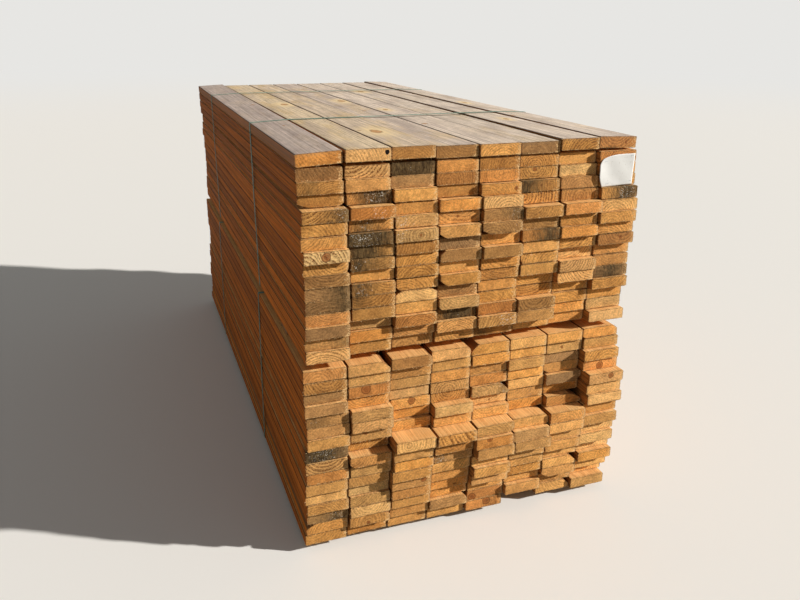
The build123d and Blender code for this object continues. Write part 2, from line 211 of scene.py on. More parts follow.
def laid_boards(node):
    # The boards of a course as they lie: each one's place, its axes, length and end outlines.
    shell = bmesh.new()
    shell.from_mesh(frame["nodes"][node].data)
    bmesh.ops.remove_doubles(shell, verts=shell.verts, dist=1e-5)
    left = set(shell.verts)
    boards = []
    while left:
        island = {left.pop()}
        edge_of_it = set(island)
        while edge_of_it:
            edge_of_it = {e.other_vert(v) for v in edge_of_it for e in v.link_edges} & left
            left -= edge_of_it
            island |= edge_of_it
        points = [v.co.copy() for v in island]
        half_way = sum(p.y for p in points) / len(points)
        near = [p for p in points if p.y < half_way]
        far = [p for p in points if p.y >= half_way]
        # The longest side of the outline is the top or the bottom, whatever the wane has taken.
        centre = sum(near, Vector()) / len(near)
        around = sorted(near, key=lambda p: math.atan2(p.z - centre.z, p.x - centre.x))
        sides = [b - a for a, b in zip(around, around[1:] + around[:1])]
        across = max(sides, key=lambda d: d.length).normalized()
        across *= 1 if across.x > 0 else -1
        lowest = min(near, key=lambda p: p.z)
        rise = max((p - lowest for p in near), key=lambda d: abs(d.z))
        along = rise.cross(across)
        along = along.normalized() * (1 if along.y > 0 else -1)
        up = across.cross(along)
        spans = [[(p - lowest).dot(axis) for p in near] for axis in (across, up)]
        middle = lowest + across * (min(spans[0]) + max(spans[0])) / 2
        middle += up * (min(spans[1]) + max(spans[1])) / 2
        length = (far[0] - middle).dot(along)
        ends = []
        for side, start in ((near, middle), (far, middle + along * length)):
            ends.append(ordered([((p - start).dot(across), (p - start).dot(up)) for p in side]))
        turn = Matrix((across, along, up)).transposed().to_euler()
        boards.append({"middle": middle, "turn": turn, "length": length, "ends": ends})
    shell.free()
    return sorted(boards, key=lambda b: b["middle"].x)


def rounded(outline):
    # The planer's eased corners made round, with points along the faces between them.
    out = []
    for i, here in enumerate(outline):
        here = Vector(here)
        before = Vector(outline[i - 1]) - here
        after = Vector(outline[(i + 1) % len(outline)]) - here
        first = here + before * min(EDGE_ROUNDING / before.length, 0.45)
        last = here + after * min(EDGE_ROUNDING / after.length, 0.45)
        out += [first, (first + here * 2 + last) / 4, last]
        following = Vector(outline[(i + 1) % len(outline)])
        gap = following - after * min(EDGE_ROUNDING / after.length, 0.45) - last
        steps = int(gap.length / FACE_STEP)
        out += [last + gap * k / (steps + 1) for k in range(1, steps + 1)]
    return out


def at_angle(outline, direction):
    # Where a ray from the middle of a section meets its outline.
    for i, b in enumerate(outline):
        a = outline[i - 1]
        side = b - a
        cross = direction.x * side.y - direction.y * side.x
        if abs(cross) < 1e-12:
            continue
        reach = (a.x * side.y - a.y * side.x) / cross
        share = (a.x * direction.y - a.y * direction.x) / cross
        if reach > 0 and -1e-6 <= share <= 1 + 1e-6:
            return direction * reach
    return direction * max(p.length for p in outline)


def board_blank(name, ends, length):
    # One board about its own axes: X across from its middle, Y along from its near end, Z up.
    near = rounded(ends[0])
    far_outline = rounded(ends[1])
    far = [at_angle(far_outline, p.normalized()) for p in near]
    inset = [p * (1 - END_BREAK / p.length) for p in near]
    far_inset = [p * (1 - END_BREAK / p.length) for p in far]
    rings = [[(p.x * k, 0, p.y * k) for p in inset] for k in CAP_RINGS]
    rings.append([(p.x, 0, p.y) for p in inset])
    rings.append([(p.x, END_BREAK, p.y) for p in near])
    for share in STATIONS:
        middle = [a.lerp(b, share) for a, b in zip(near, far)]
        rings.append([(p.x, share * length, p.y) for p in middle])
    rings.append([(p.x, length - END_BREAK, p.y) for p in far])
    rings.append([(p.x, length, p.y) for p in far_inset])
    rings += [[(p.x * k, length, p.y * k) for p in far_inset] for k in reversed(CAP_RINGS)]
    count = len(near)
    points = [p for ring in rings for p in ring] + [(0, 0, 0), (0, length, 0)]
    faces = []
    sawn = []
    caps = len(CAP_RINGS)
    for j in range(count):
        k = (j + 1) % count
        faces.append((len(points) - 2, j, k))
        last = (len(rings) - 1) * count
        faces.append((len(points) - 1, last + k, last + j))
        sawn += [1.0, 1.0]
        for i in range(len(rings) - 1):
            a = i * count
            faces.append((a + j, a + count + j, a + count + k, a + k))
            at_end = min(i, len(rings) - 2 - i)
            sawn.append(1.0 if at_end < caps else 0.5 if at_end == caps else 0.0)
    mesh = bpy.data.meshes.new(name)
    mesh.from_pydata(points, [], faces)
    mesh.attributes.new("sawn", "FLOAT", "FACE").data.foreach_set("value", sawn)
    local = mesh.attributes.new("local", "FLOAT_VECTOR", "POINT")
    local.data.foreach_set("vector", [c for p in points for c in p])
    mesh.shade_smooth()
    mesh.set_sharp_from_angle(angle=math.radians(30))
    return bpy.data.objects.new(name, mesh)


def linear(hex_code):
    # An sRGB hex colour as the linear values that a shader takes.
    parts = [int(hex_code[i:i + 2], 16) / 255 for i in (1, 3, 5)]
    return [c / 12.92 if c <= 0.04045 else ((c + 0.055) / 1.055) ** 2.4 for c in parts] + [1.0]


def add_node(tree, kind, inputs=None, **settings):
    # A node with its settings. An input is a socket to link or a value to set.
    node = tree.nodes.new(kind)
    for name, value in settings.items():
        setattr(node, name, value)
    for key, value in (inputs or {}).items():
        if isinstance(value, bpy.types.NodeSocket):
            tree.links.new(value, node.inputs[key])
        else:
            node.inputs[key].default_value = value
    return node


def new_material(name):
    material = bpy.data.materials.new(name)
    material.use_nodes = True
    material.node_tree.nodes.clear()
    return material, material.node_tree


# Planed softwood: dry resinous wood, matt, with an IOR of 1.5 and a roughness near 0.75.
# Pale early wood and brown late wood alternate in rings about the pith of the log.
softwood, tree = new_material("planed_softwood")
local = add_node(tree, "ShaderNodeAttribute", attribute_name="local").outputs["Vector"]
pith = add_node(tree, "ShaderNodeAttribute", attribute_name="pith").outputs["Vector"]
lean = add_node(tree, "ShaderNodeAttribute", attribute_name="lean").outputs["Vector"]
tone = add_node(tree, "ShaderNodeAttribute", attribute_name="tone").outputs["Vector"]
soil = add_node(tree, "ShaderNodeAttribute", attribute_name="soil").outputs["Vector"]
knot = add_node(tree, "ShaderNodeAttribute", attribute_name="end_knot").outputs["Vector"]
sawn = add_node(tree, "ShaderNodeAttribute", attribute_name="sawn").outputs["Fac"]
bleached = add_node(tree, "ShaderNodeAttribute", attribute_name="bleached").outputs["Fac"]
local_xyz = add_node(tree, "ShaderNodeSeparateXYZ", {0: local})
pith_xyz = add_node(tree, "ShaderNodeSeparateXYZ", {0: pith})
lean_xyz = add_node(tree, "ShaderNodeSeparateXYZ", {0: lean})
tone_xyz = add_node(tree, "ShaderNodeSeparateXYZ", {0: tone})
soil_xyz = add_node(tree, "ShaderNodeSeparateXYZ", {0: soil})
knot_xyz = add_node(tree, "ShaderNodeSeparateXYZ", {0: knot})
along = local_xyz.outputs["Y"]
# Each board reads the noises at a place of its own.
apart = add_node(tree, "ShaderNodeVectorMath", {0: (17.3, 31.7, 11.9), 3: lean_xyz.outputs["Z"]}, operation="SCALE")
own = add_node(tree, "ShaderNodeVectorMath", {0: local, 1: apart.outputs[0]}, operation="ADD").outputs[0]

# Knots along the faces: one in each cell of 140 by 420 mm, where chance allows it.
own_xyz = add_node(tree, "ShaderNodeSeparateXYZ", {0: own})
cell_x = add_node(tree, "ShaderNodeMath", {0: own_xyz.outputs["X"], 1: 0.14}, operation="DIVIDE")
cell_y = add_node(tree, "ShaderNodeMath", {0: own_xyz.outputs["Y"], 1: 0.42}, operation="DIVIDE")
cell = add_node(tree, "ShaderNodeCombineXYZ", {0: cell_x.outputs[0], 1: cell_y.outputs[0]})
branch = add_node(tree, "ShaderNodeTexVoronoi", {"Vector": cell.outputs[0], "Scale": 1.0, "Randomness": 0.8},
                  voronoi_dimensions="2D")
to_branch = add_node(tree, "ShaderNodeVectorMath", {0: cell.outputs[0], 1: branch.outputs["Position"]},
                     operation="SUBTRACT")
to_branch = add_node(tree, "ShaderNodeVectorMath", {0: to_branch.outputs[0], 1: (0.14, 0.42, 0.0)},
                     operation="MULTIPLY")
branch_wave = add_node(tree, "ShaderNodeTexNoise", {"Vector": own, "Scale": 60.0, "Detail": 1.0})
branch_far = add_node(tree, "ShaderNodeVectorMath", {0: to_branch.outputs[0]}, operation="LENGTH")
branch_far = add_node(tree, "ShaderNodeMath", {0: branch_wave.outputs["Fac"], 1: 0.006, 2: branch_far.outputs["Value"]},
                      operation="MULTIPLY_ADD")
branch_far = add_node(tree, "ShaderNodeMath", {0: branch_far.outputs[0], 1: 0.003}, operation="SUBTRACT").outputs[0]
branch_chance = add_node(tree, "ShaderNodeSeparateColor", {0: branch.outputs["Color"]})
branch_size = add_node(tree, "ShaderNodeMapRange", {
    "Value": branch_chance.outputs[0], "From Min": 0.66, "From Max": 1.0, "To Min": 0.0, "To Max": 0.015})
branch_on = add_node(tree, "ShaderNodeMath", {0: branch_size.outputs[0], 1: 0.004}, operation="GREATER_THAN")
swerve = add_node(tree, "ShaderNodeMapRange", {
    "Value": branch_far, "From Min": 0.0, "From Max": 0.055, "To Min": 1.0, "To Max": 0.0},
    interpolation_type="SMOOTHERSTEP")
swerve = add_node(tree, "ShaderNodeMath", {0: swerve.outputs[0], 1: branch_size.outputs[0]}, operation="MULTIPLY")

# Knots cut through at the near end.
knot_at = add_node(tree, "ShaderNodeCombineXYZ", {0: knot_xyz.outputs["X"], 2: knot_xyz.outputs["Y"]})
knot_off = add_node(tree, "ShaderNodeVectorMath", {0: local, 1: knot_at.outputs[0]}, operation="SUBTRACT")
knot_off = add_node(tree, "ShaderNodeVectorMath", {0: knot_off.outputs[0], 1: (1.0, 0.35, 1.0)}, operation="MULTIPLY")
knot_far = add_node(tree, "ShaderNodeVectorMath", {0: knot_off.outputs[0]}, operation="LENGTH").outputs["Value"]
knot_wave = add_node(tree, "ShaderNodeTexNoise", {"Vector": own, "Scale": 120.0, "Detail": 1.0})
knot_far = add_node(tree, "ShaderNodeMath", {0: knot_wave.outputs["Fac"], 1: 0.008, 2: knot_far},
                    operation="MULTIPLY_ADD")
knot_far = add_node(tree, "ShaderNodeMath", {0: knot_far.outputs[0], 1: 0.004}, operation="SUBTRACT").outputs[0]
knot_size = add_node(tree, "ShaderNodeMath", {0: knot_xyz.outputs["Z"]}, operation="ABSOLUTE").outputs[0]
knot_gone = add_node(tree, "ShaderNodeMath", {0: knot_xyz.outputs["Z"], 1: 0.0}, operation="LESS_THAN").outputs[0]
knot_near = add_node(tree, "ShaderNodeMath", {0: knot_far, 1: knot_size}, operation="SUBTRACT")
knot_most = add_node(tree, "ShaderNodeMapRange", {
    "Value": knot_gone, "From Min": 0.0, "From Max": 1.0, "To Min": 0.8, "To Max": 1.0})
knot_mask = add_node(tree, "ShaderNodeMapRange", {
    "Value": knot_near.outputs[0], "From Min": 0.001, "From Max": 0.0, "To Min": 0.0,
    "To Max": knot_most.outputs[0]})
knot_on = add_node(tree, "ShaderNodeMath", {0: knot_size, 1: 0.001}, operation="GREATER_THAN")
knot_mask = add_node(tree, "ShaderNodeMath", {0: knot_mask.outputs[0], 1: knot_on.outputs[0]},
                     operation="MULTIPLY").outputs[0]
knot_swerve = add_node(tree, "ShaderNodeMapRange", {
    "Value": knot_far, "From Min": 0.0, "From Max": 0.04, "To Min": 0.9, "To Max": 0.0},
    interpolation_type="SMOOTHERSTEP")
knot_swerve = add_node(tree, "ShaderNodeMath", {0: knot_swerve.outputs[0], 1: knot_size}, operation="MULTIPLY")

# Growth rings, 5 to 12 mm apart, about a pith that leans a little along the board.
drift = add_node(tree, "ShaderNodeCombineXYZ", {0: lean_xyz.outputs["X"], 2: lean_xyz.outputs["Y"]})
drift = add_node(tree, "ShaderNodeVectorMath", {0: drift.outputs[0], 3: along}, operation="SCALE")
pith_at = add_node(tree, "ShaderNodeCombineXYZ", {0: pith_xyz.outputs["X"], 2: pith_xyz.outputs["Y"]})
off = add_node(tree, "ShaderNodeVectorMath", {0: local, 1: pith_at.outputs[0]}, operation="SUBTRACT")
off = add_node(tree, "ShaderNodeVectorMath", {0: off.outputs[0], 1: drift.outputs[0]}, operation="SUBTRACT")
off = add_node(tree, "ShaderNodeVectorMath", {0: off.outputs[0], 1: (1.0, 0.0, 1.0)}, operation="MULTIPLY")
stretched = add_node(tree, "ShaderNodeVectorMath", {0: own, 1: (14.0, 1.6, 14.0)}, operation="MULTIPLY")
wobble = add_node(tree, "ShaderNodeTexNoise", {"Vector": stretched.outputs[0], "Scale": 1.0, "Detail": 3.0})
reach = add_node(tree, "ShaderNodeVectorMath", {0: off.outputs[0]}, operation="LENGTH")
reach = add_node(tree, "ShaderNodeMath", {0: wobble.outputs["Fac"], 1: 0.016, 2: reach.outputs["Value"]},
                 operation="MULTIPLY_ADD")
reach = add_node(tree, "ShaderNodeMath", {0: swerve.outputs[0], 1: 0.9, 2: reach.outputs[0]}, operation="MULTIPLY_ADD")
reach = add_node(tree, "ShaderNodeMath", {0: reach.outputs[0], 1: knot_swerve.outputs[0]}, operation="ADD")
years = add_node(tree, "ShaderNodeMath", {0: reach.outputs[0], 1: pith_xyz.outputs["Z"]}, operation="DIVIDE").outputs[0]
uneven = add_node(tree, "ShaderNodeTexNoise", {"W": years, "Scale": 0.45, "Detail": 1.0}, noise_dimensions="1D")
years = add_node(tree, "ShaderNodeMath", {0: uneven.outputs["Fac"], 1: 1.6, 2: years}, operation="MULTIPLY_ADD").outputs[0]
season = add_node(tree, "ShaderNodeMath", {0: years}, operation="FRACT").outputs[0]
late = add_node(tree, "ShaderNodeValToRGB", {0: season})
late.color_ramp.elements[0].position = 0.0
late.color_ramp.elements[0].color = (0.35, 0.35, 0.35, 1)
late.color_ramp.elements[1].position = 0.1
late.color_ramp.elements[1].color = (0, 0, 0, 1)
for place, level in ((0.42, 0.1), (0.68, 0.85), (0.9, 1.0)):
    stop = late.color_ramp.elements.new(place)
    stop.color = (level, level, level, 1)
# The saw tears early wood, so that the rings on an end break up into dashes about 3 mm long.
tears = add_node(tree, "ShaderNodeTexNoise", {"Vector": own, "Scale": 240.0, "Detail": 3.0}).outputs["Fac"]
dashes = add_node(tree, "ShaderNodeMapRange", {
    "Value": tears, "From Min": 0.38, "From Max": 0.6, "To Min": 0.15, "To Max": 1.0})
late = add_node(tree, "ShaderNodeMath", {0: late.outputs["Color"], 1: dashes.outputs[0]}, operation="MULTIPLY").outputs[0]
fine = add_node(tree, "ShaderNodeVectorMath", {0: own, 1: (420.0, 7.0, 420.0)}, operation="MULTIPLY")
fine = add_node(tree, "ShaderNodeTexNoise", {"Vector": fine.outputs[0], "Scale": 1.0, "Detail": 2.0}).outputs["Fac"]
broad = add_node(tree, "ShaderNodeTexNoise", {"Vector": own, "Scale": 24.0, "Detail": 3.0}).outputs["Fac"]
grit = add_node(tree, "ShaderNodeTexNoise", {"Vector": own, "Scale": 620.0, "Detail": 2.0}).outputs["Fac"]
fuzz = add_node(tree, "ShaderNodeTexNoise", {"Vector": own, "Scale": 150.0, "Detail": 3.0, "Roughness": 0.7}).outputs["Fac"]
abs_x = add_node(tree, "ShaderNodeMath", {0: local_xyz.outputs["X"]}, operation="ABSOLUTE").outputs[0]
abs_z = add_node(tree, "ShaderNodeMath", {0: local_xyz.outputs["Z"]}, operation="ABSOLUTE").outputs[0]

# Sawn ends soak up and darken, so that their rings stand out most.
end_early = add_node(tree, "ShaderNodeMix", {0: broad, 6: linear("#DC9244"), 7: linear("#F8B660")}, data_type="RGBA")
end_early = add_node(tree, "ShaderNodeMix", {0: tone_xyz.outputs["Z"], 6: end_early.outputs[2], 7: linear("#F6D08E")},
                     data_type="RGBA")
end_early = add_node(tree, "ShaderNodeMix", {0: tone_xyz.outputs["Y"], 6: end_early.outputs[2], 7: linear("#D67A3A")},
                     data_type="RGBA")
end_early = add_node(tree, "ShaderNodeMix", {0: tone_xyz.outputs["X"], 6: end_early.outputs[2], 7: linear("#AE865A")},
                     data_type="RGBA")
end_late = add_node(tree, "ShaderNodeMix", {0: tone_xyz.outputs["X"], 6: linear("#6E3810"), 7: linear("#4A3018")},
                    data_type="RGBA")
bold = add_node(tree, "ShaderNodeAttribute", attribute_name="bold").outputs["Fac"]
ring_depth = add_node(tree, "ShaderNodeMath", {0: bold, 1: late}, operation="MULTIPLY")
end_wood = add_node(tree, "ShaderNodeMix", {0: ring_depth.outputs[0], 6: end_early.outputs[2], 7: end_late.outputs[2]},
                    data_type="RGBA")
grit_level = add_node(tree, "ShaderNodeMapRange", {
    "Value": grit, "From Min": 0.3, "From Max": 0.7, "To Min": 0.74, "To Max": 1.2})
blotch_level = add_node(tree, "ShaderNodeMapRange", {
    "Value": broad, "From Min": 0.3, "From Max": 0.7, "To Min": 0.84, "To Max": 1.14})
board_level = add_node(tree, "ShaderNodeAttribute", attribute_name="level").outputs["Fac"]
fuzz_level = add_node(tree, "ShaderNodeMapRange", {
    "Value": fuzz, "From Min": 0.3, "From Max": 0.7, "To Min": 0.68, "To Max": 1.3})
end_level = add_node(tree, "ShaderNodeMath", {0: grit_level.outputs[0], 1: blotch_level.outputs[0]}, operation="MULTIPLY")
end_level = add_node(tree, "ShaderNodeMath", {0: end_level.outputs[0], 1: fuzz_level.outputs[0]}, operation="MULTIPLY")
end_level = add_node(tree, "ShaderNodeMath", {0: end_level.outputs[0], 1: board_level}, operation="MULTIPLY")
# Dust and painted shade darken the ends up to 4 mm above and below each joint, unevenly.
joint_dust_and_shade = add_node(tree, "ShaderNodeMath", {0: fuzz, 1: 0.014, 2: abs_z}, operation="MULTIPLY_ADD")
joint_dust_and_shade = add_node(tree, "ShaderNodeMapRange", {
    "Value": joint_dust_and_shade.outputs[0], "From Min": 0.0236, "From Max": 0.0268, "To Min": 1.0, "To Max": 0.16})
end_level = add_node(tree, "ShaderNodeMath", {0: end_level.outputs[0], 1: joint_dust_and_shade.outputs[0]}, operation="MULTIPLY")
side_dust_and_shade = add_node(tree, "ShaderNodeMath", {0: fuzz, 1: 0.014, 2: abs_x}, operation="MULTIPLY_ADD")
side_dust_and_shade = add_node(tree, "ShaderNodeMapRange", {
    "Value": side_dust_and_shade.outputs[0], "From Min": 0.0740, "From Max": 0.0768, "To Min": 1.0, "To Max": 0.25})
end_level = add_node(tree, "ShaderNodeMath", {0: end_level.outputs[0], 1: side_dust_and_shade.outputs[0]}, operation="MULTIPLY")
end_wood = add_node(tree, "ShaderNodeVectorMath", {0: end_wood.outputs[2], 3: end_level.outputs[0]}, operation="SCALE")
# Torn wood is pale along the right and lower edges, where the blade left the board.
torn_at = add_node(tree, "ShaderNodeMapRange", {
    "Value": local_xyz.outputs["X"], "From Min": 0.045, "From Max": 0.069, "To Min": 0.0, "To Max": 0.3})
torn_low = add_node(tree, "ShaderNodeMapRange", {
    "Value": local_xyz.outputs["Z"], "From Min": -0.012, "From Max": -0.019, "To Min": 0.0, "To Max": 0.22})
torn = add_node(tree, "ShaderNodeMath", {0: torn_at.outputs[0], 1: torn_low.outputs[0]}, operation="ADD")
torn = add_node(tree, "ShaderNodeMath", {0: torn.outputs[0], 1: tears}, operation="ADD")
torn = add_node(tree, "ShaderNodeMapRange", {
    "Value": torn.outputs[0], "From Min": 0.66, "From Max": 0.84, "To Min": 0.0, "To Max": 0.8})
end_wood = add_node(tree, "ShaderNodeMix", {0: torn.outputs[0], 6: end_wood.outputs[0], 7: linear("#F3CA90")},
                    data_type="RGBA")

# Planed faces: the same rings cut along, lower in contrast.
face_early = add_node(tree, "ShaderNodeMix", {0: broad, 6: linear("#E8AA62"), 7: linear("#F8CC8C")}, data_type="RGBA")
face_late = add_node(tree, "ShaderNodeMix", {0: fine, 6: linear("#A86630"), 7: linear("#CA8846")}, data_type="RGBA")
narrow = add_node(tree, "ShaderNodeMapRange", {
    "Value": abs_x, "From Min": 0.0662, "From Max": 0.0672, "To Min": 0.0, "To Max": 1.0}).outputs[0]
wide = add_node(tree, "ShaderNodeMath", {0: 1.0, 1: narrow}, operation="SUBTRACT").outputs[0]
face_depth = add_node(tree, "ShaderNodeMath", {0: late, 1: 0.5}, operation="MULTIPLY")
face_wood = add_node(tree, "ShaderNodeMix", {0: face_depth.outputs[0], 6: face_early.outputs[2], 7: face_late.outputs[2]},
                     data_type="RGBA")
# Wane is the log's own rounded outside, brown and rough where the bark came off; its dark brown is also painted shade,
# as it lies in the grooves between boards.
wane_and_groove_shade = add_node(tree, "ShaderNodeMapRange", {
    "Value": abs_z, "From Min": 0.0184, "From Max": 0.0176, "To Min": 0.0, "To Max": 0.85})
wane_and_groove_shade = add_node(tree, "ShaderNodeMath", {0: wane_and_groove_shade.outputs[0], 1: wide}, operation="MULTIPLY")
face_wood = add_node(tree, "ShaderNodeMix", {0: wane_and_groove_shade.outputs[0], 6: face_wood.outputs[2], 7: linear("#7E5230")},
                     data_type="RGBA")
fine_level = add_node(tree, "ShaderNodeMapRange", {
    "Value": fine, "From Min": 0.3, "From Max": 0.7, "To Min": 0.78, "To Max": 1.14})
face_wood = add_node(tree, "ShaderNodeVectorMath", {0: face_wood.outputs[2], 3: fine_level.outputs[0]}, operation="SCALE")
# The narrow edges carry painted light and shade: on the right greyed and dimmed, painted shade against the key
# lamp that faces them, and on the left, always in shade, the deepest orange, a painted warm bounce light. Inside the
# pack they are darkened by dust and painted shade, except on the last 100 mm, which can stand out, and on the top
# course, whose sprung boards show a little of them.
outer = add_node(tree, "ShaderNodeAttribute", attribute_name="outer").outputs["Fac"]
outward = add_node(tree, "ShaderNodeMath", {0: local_xyz.outputs["X"], 1: outer}, operation="MULTIPLY")
outward = add_node(tree, "ShaderNodeMath", {0: outward.outputs[0], 1: 0.001}, operation="GREATER_THAN")
leftmost = add_node(tree, "ShaderNodeMath", {0: outer, 1: 0.0}, operation="LESS_THAN")
narrow_tint_and_shade = add_node(tree, "ShaderNodeMix", {0: leftmost.outputs[0], 4: (0.54, 0.48, 0.41), 5: (0.9, 0.45, 0.14)},
               data_type="VECTOR")
from_half = add_node(tree, "ShaderNodeMath", {0: along, 1: 1.2192}, operation="SUBTRACT")
from_half = add_node(tree, "ShaderNodeMath", {0: from_half.outputs[0]}, operation="ABSOLUTE")
exposed = add_node(tree, "ShaderNodeMapRange", {
    "Value": from_half.outputs[0], "From Min": 1.12, "From Max": 1.17, "To Min": 0.0, "To Max": 1.0})
exposed = add_node(tree, "ShaderNodeMath", {0: exposed.outputs[0], 1: bleached}, operation="MAXIMUM")
inner_dust_and_shade = add_node(tree, "ShaderNodeMix", {0: exposed.outputs[0], 4: (0.2, 0.15, 0.11), 5: (0.6, 0.45, 0.32)},
                 data_type="VECTOR")
narrow_tint_and_shade = add_node(tree, "ShaderNodeMix", {0: outward.outputs[0], 4: inner_dust_and_shade.outputs[1], 5: narrow_tint_and_shade.outputs[1]},
               data_type="VECTOR")
narrow_wood_shaded = add_node(tree, "ShaderNodeVectorMath", {0: face_wood.outputs[0], 1: narrow_tint_and_shade.outputs[1]}, operation="MULTIPLY")
edge_lines = add_node(tree, "ShaderNodeVectorMath", {0: own, 1: (160.0, 1.3, 160.0)}, operation="MULTIPLY")
edge_lines = add_node(tree, "ShaderNodeTexNoise", {"Vector": edge_lines.outputs[0], "Scale": 1.0, "Detail": 3.0})
edge_level = add_node(tree, "ShaderNodeMapRange", {
    "Value": edge_lines.outputs["Fac"], "From Min": 0.35, "From Max": 0.6, "To Min": 0.56, "To Max": 1.14})
edge_level = add_node(tree, "ShaderNodeMath", {0: edge_level.outputs[0], 1: board_level}, operation="MULTIPLY")
narrow_wood_shaded = add_node(tree, "ShaderNodeVectorMath", {0: narrow_wood_shaded.outputs[0], 3: edge_level.outputs[0]}, operation="SCALE")
face_wood = add_node(tree, "ShaderNodeMix", {0: narrow, 6: face_wood.outputs[0], 7: narrow_wood_shaded.outputs[0]},
                     data_type="RGBA")
# Weather has greyed the outer edges of the top course halfway.
greyed_edge = add_node(tree, "ShaderNodeMath", {0: bleached, 1: 0.5}, operation="MULTIPLY")
greyed_edge = add_node(tree, "ShaderNodeMath", {0: greyed_edge.outputs[0], 1: narrow}, operation="MULTIPLY")
greyed_edge = add_node(tree, "ShaderNodeMath", {0: greyed_edge.outputs[0], 1: outward.outputs[0]}, operation="MULTIPLY")
face_wood = add_node(tree, "ShaderNodeMix", {0: greyed_edge.outputs[0], 6: face_wood.outputs[2], 7: linear("#AE9078")},
                     data_type="RGBA")
# The eased corners lie in the joints, darkened by dust and painted shade.
eased_z = add_node(tree, "ShaderNodeMapRange", {
    "Value": abs_z, "From Min": 0.0160, "From Max": 0.0174, "To Min": 0.0, "To Max": 0.85})
eased = add_node(tree, "ShaderNodeMath", {0: eased_z.outputs[0], 1: narrow}, operation="MULTIPLY")
face_wood = add_node(tree, "ShaderNodeMix", {0: eased.outputs[0], 6: face_wood.outputs[2], 7: linear("#2E1A0C")},
                     data_type="RGBA")

# Sun and rain have bleached what faces the sky on the top course, each board in its own tone.
facing = add_node(tree, "ShaderNodeNewGeometry").outputs["Normal"]
facing_xyz = add_node(tree, "ShaderNodeSeparateXYZ", {0: facing})
skyward = add_node(tree, "ShaderNodeMapRange", {
    "Value": facing_xyz.outputs["Z"], "From Min": 0.3, "From Max": 0.75, "To Min": 0.0, "To Max": 1.0})
skyward = add_node(tree, "ShaderNodeMath", {0: skyward.outputs[0], 1: bleached}, operation="MULTIPLY").outputs[0]
weathered = add_node(tree, "ShaderNodeAttribute", attribute_name="weathered").outputs["Vector"]
yellowed = add_node(tree, "ShaderNodeAttribute", attribute_name="yellowed").outputs["Fac"]
patches = add_node(tree, "ShaderNodeVectorMath", {0: own, 1: (15.0, 4.0, 15.0)}, operation="MULTIPLY")
patches = add_node(tree, "ShaderNodeTexNoise", {"Vector": patches.outputs[0], "Scale": 1.0, "Detail": 5.0,
                                                "Roughness": 0.6})
patch_xyz = add_node(tree, "ShaderNodeSeparateColor", {0: patches.outputs["Color"]})
purple = add_node(tree, "ShaderNodeMapRange", {
    "Value": patch_xyz.outputs[0], "From Min": 0.5, "From Max": 0.62, "To Min": 0.0, "To Max": 0.4})
silvered = add_node(tree, "ShaderNodeMix", {0: purple.outputs[0], 6: weathered, 7: linear("#98857F")},
                    data_type="RGBA")
yellow = add_node(tree, "ShaderNodeMapRange", {
    "Value": patch_xyz.outputs[1], "From Min": 0.5, "From Max": 0.64, "To Min": 0.0, "To Max": 1.0})
yellow = add_node(tree, "ShaderNodeMath", {0: yellow.outputs[0], 1: yellowed}, operation="MULTIPLY")
silvered = add_node(tree, "ShaderNodeMix", {0: yellow.outputs[0], 6: silvered.outputs[2], 7: linear("#DEBF8C")},
                    data_type="RGBA")
silver_late = add_node(tree, "ShaderNodeMath", {0: late, 1: 0.36}, operation="MULTIPLY")
silvered = add_node(tree, "ShaderNodeMix", {0: silver_late.outputs[0], 6: silvered.outputs[2], 7: linear("#907963")},
                    data_type="RGBA")
streaks = add_node(tree, "ShaderNodeVectorMath", {0: own, 1: (210.0, 2.4, 210.0)}, operation="MULTIPLY")
streaks = add_node(tree, "ShaderNodeTexNoise", {"Vector": streaks.outputs[0], "Scale": 1.0, "Detail": 4.0}).outputs["Fac"]
streak_level = add_node(tree, "ShaderNodeMapRange", {
    "Value": streaks, "From Min": 0.3, "From Max": 0.7, "To Min": 0.72, "To Max": 1.24})
# Darker towards each top board's long edges: painted shade in the joints between the boards.
joint_level = add_node(tree, "ShaderNodeMapRange", {
    "Value": abs_x, "From Min": 0.0652, "From Max": 0.0672, "To Min": 1.0, "To Max": 0.3})
streak_level = add_node(tree, "ShaderNodeMath", {0: streak_level.outputs[0], 1: joint_level.outputs[0]},
                        operation="MULTIPLY")
mottle = add_node(tree, "ShaderNodeVectorMath", {0: own, 1: (60.0, 16.0, 60.0)}, operation="MULTIPLY")
mottle = add_node(tree, "ShaderNodeTexNoise", {"Vector": mottle.outputs[0], "Scale": 1.0, "Detail": 5.0,
                                               "Roughness": 0.7})
mottle = add_node(tree, "ShaderNodeMapRange", {
    "Value": mottle.outputs["Fac"], "From Min": 0.32, "From Max": 0.68, "To Min": 0.8, "To Max": 1.16})
streak_level = add_node(tree, "ShaderNodeMath", {0: streak_level.outputs[0], 1: mottle.outputs[0]},
                        operation="MULTIPLY")
silvered = add_node(tree, "ShaderNodeVectorMath", {0: silvered.outputs[2], 3: streak_level.outputs[0]},
                    operation="SCALE")
# Drying checks: dark hairline cracks along the grain, up to 150 mm long.
checks = add_node(tree, "ShaderNodeVectorMath", {0: own, 1: (430.0, 7.0, 430.0)}, operation="MULTIPLY")
checks = add_node(tree, "ShaderNodeTexNoise", {"Vector": checks.outputs[0], "Scale": 1.0, "Detail": 2.0})
checks = add_node(tree, "ShaderNodeMapRange", {
    "Value": checks.outputs["Fac"], "From Min": 0.63, "From Max": 0.69, "To Min": 0.0, "To Max": 0.6})
silvered = add_node(tree, "ShaderNodeMix", {0: checks.outputs[0], 6: silvered.outputs[0], 7: linear("#5C4A3E")},
                    data_type="RGBA")
face_wood = add_node(tree, "ShaderNodeMix", {0: skyward, 6: face_wood.outputs[2], 7: silvered.outputs[2]},
                     data_type="RGBA")
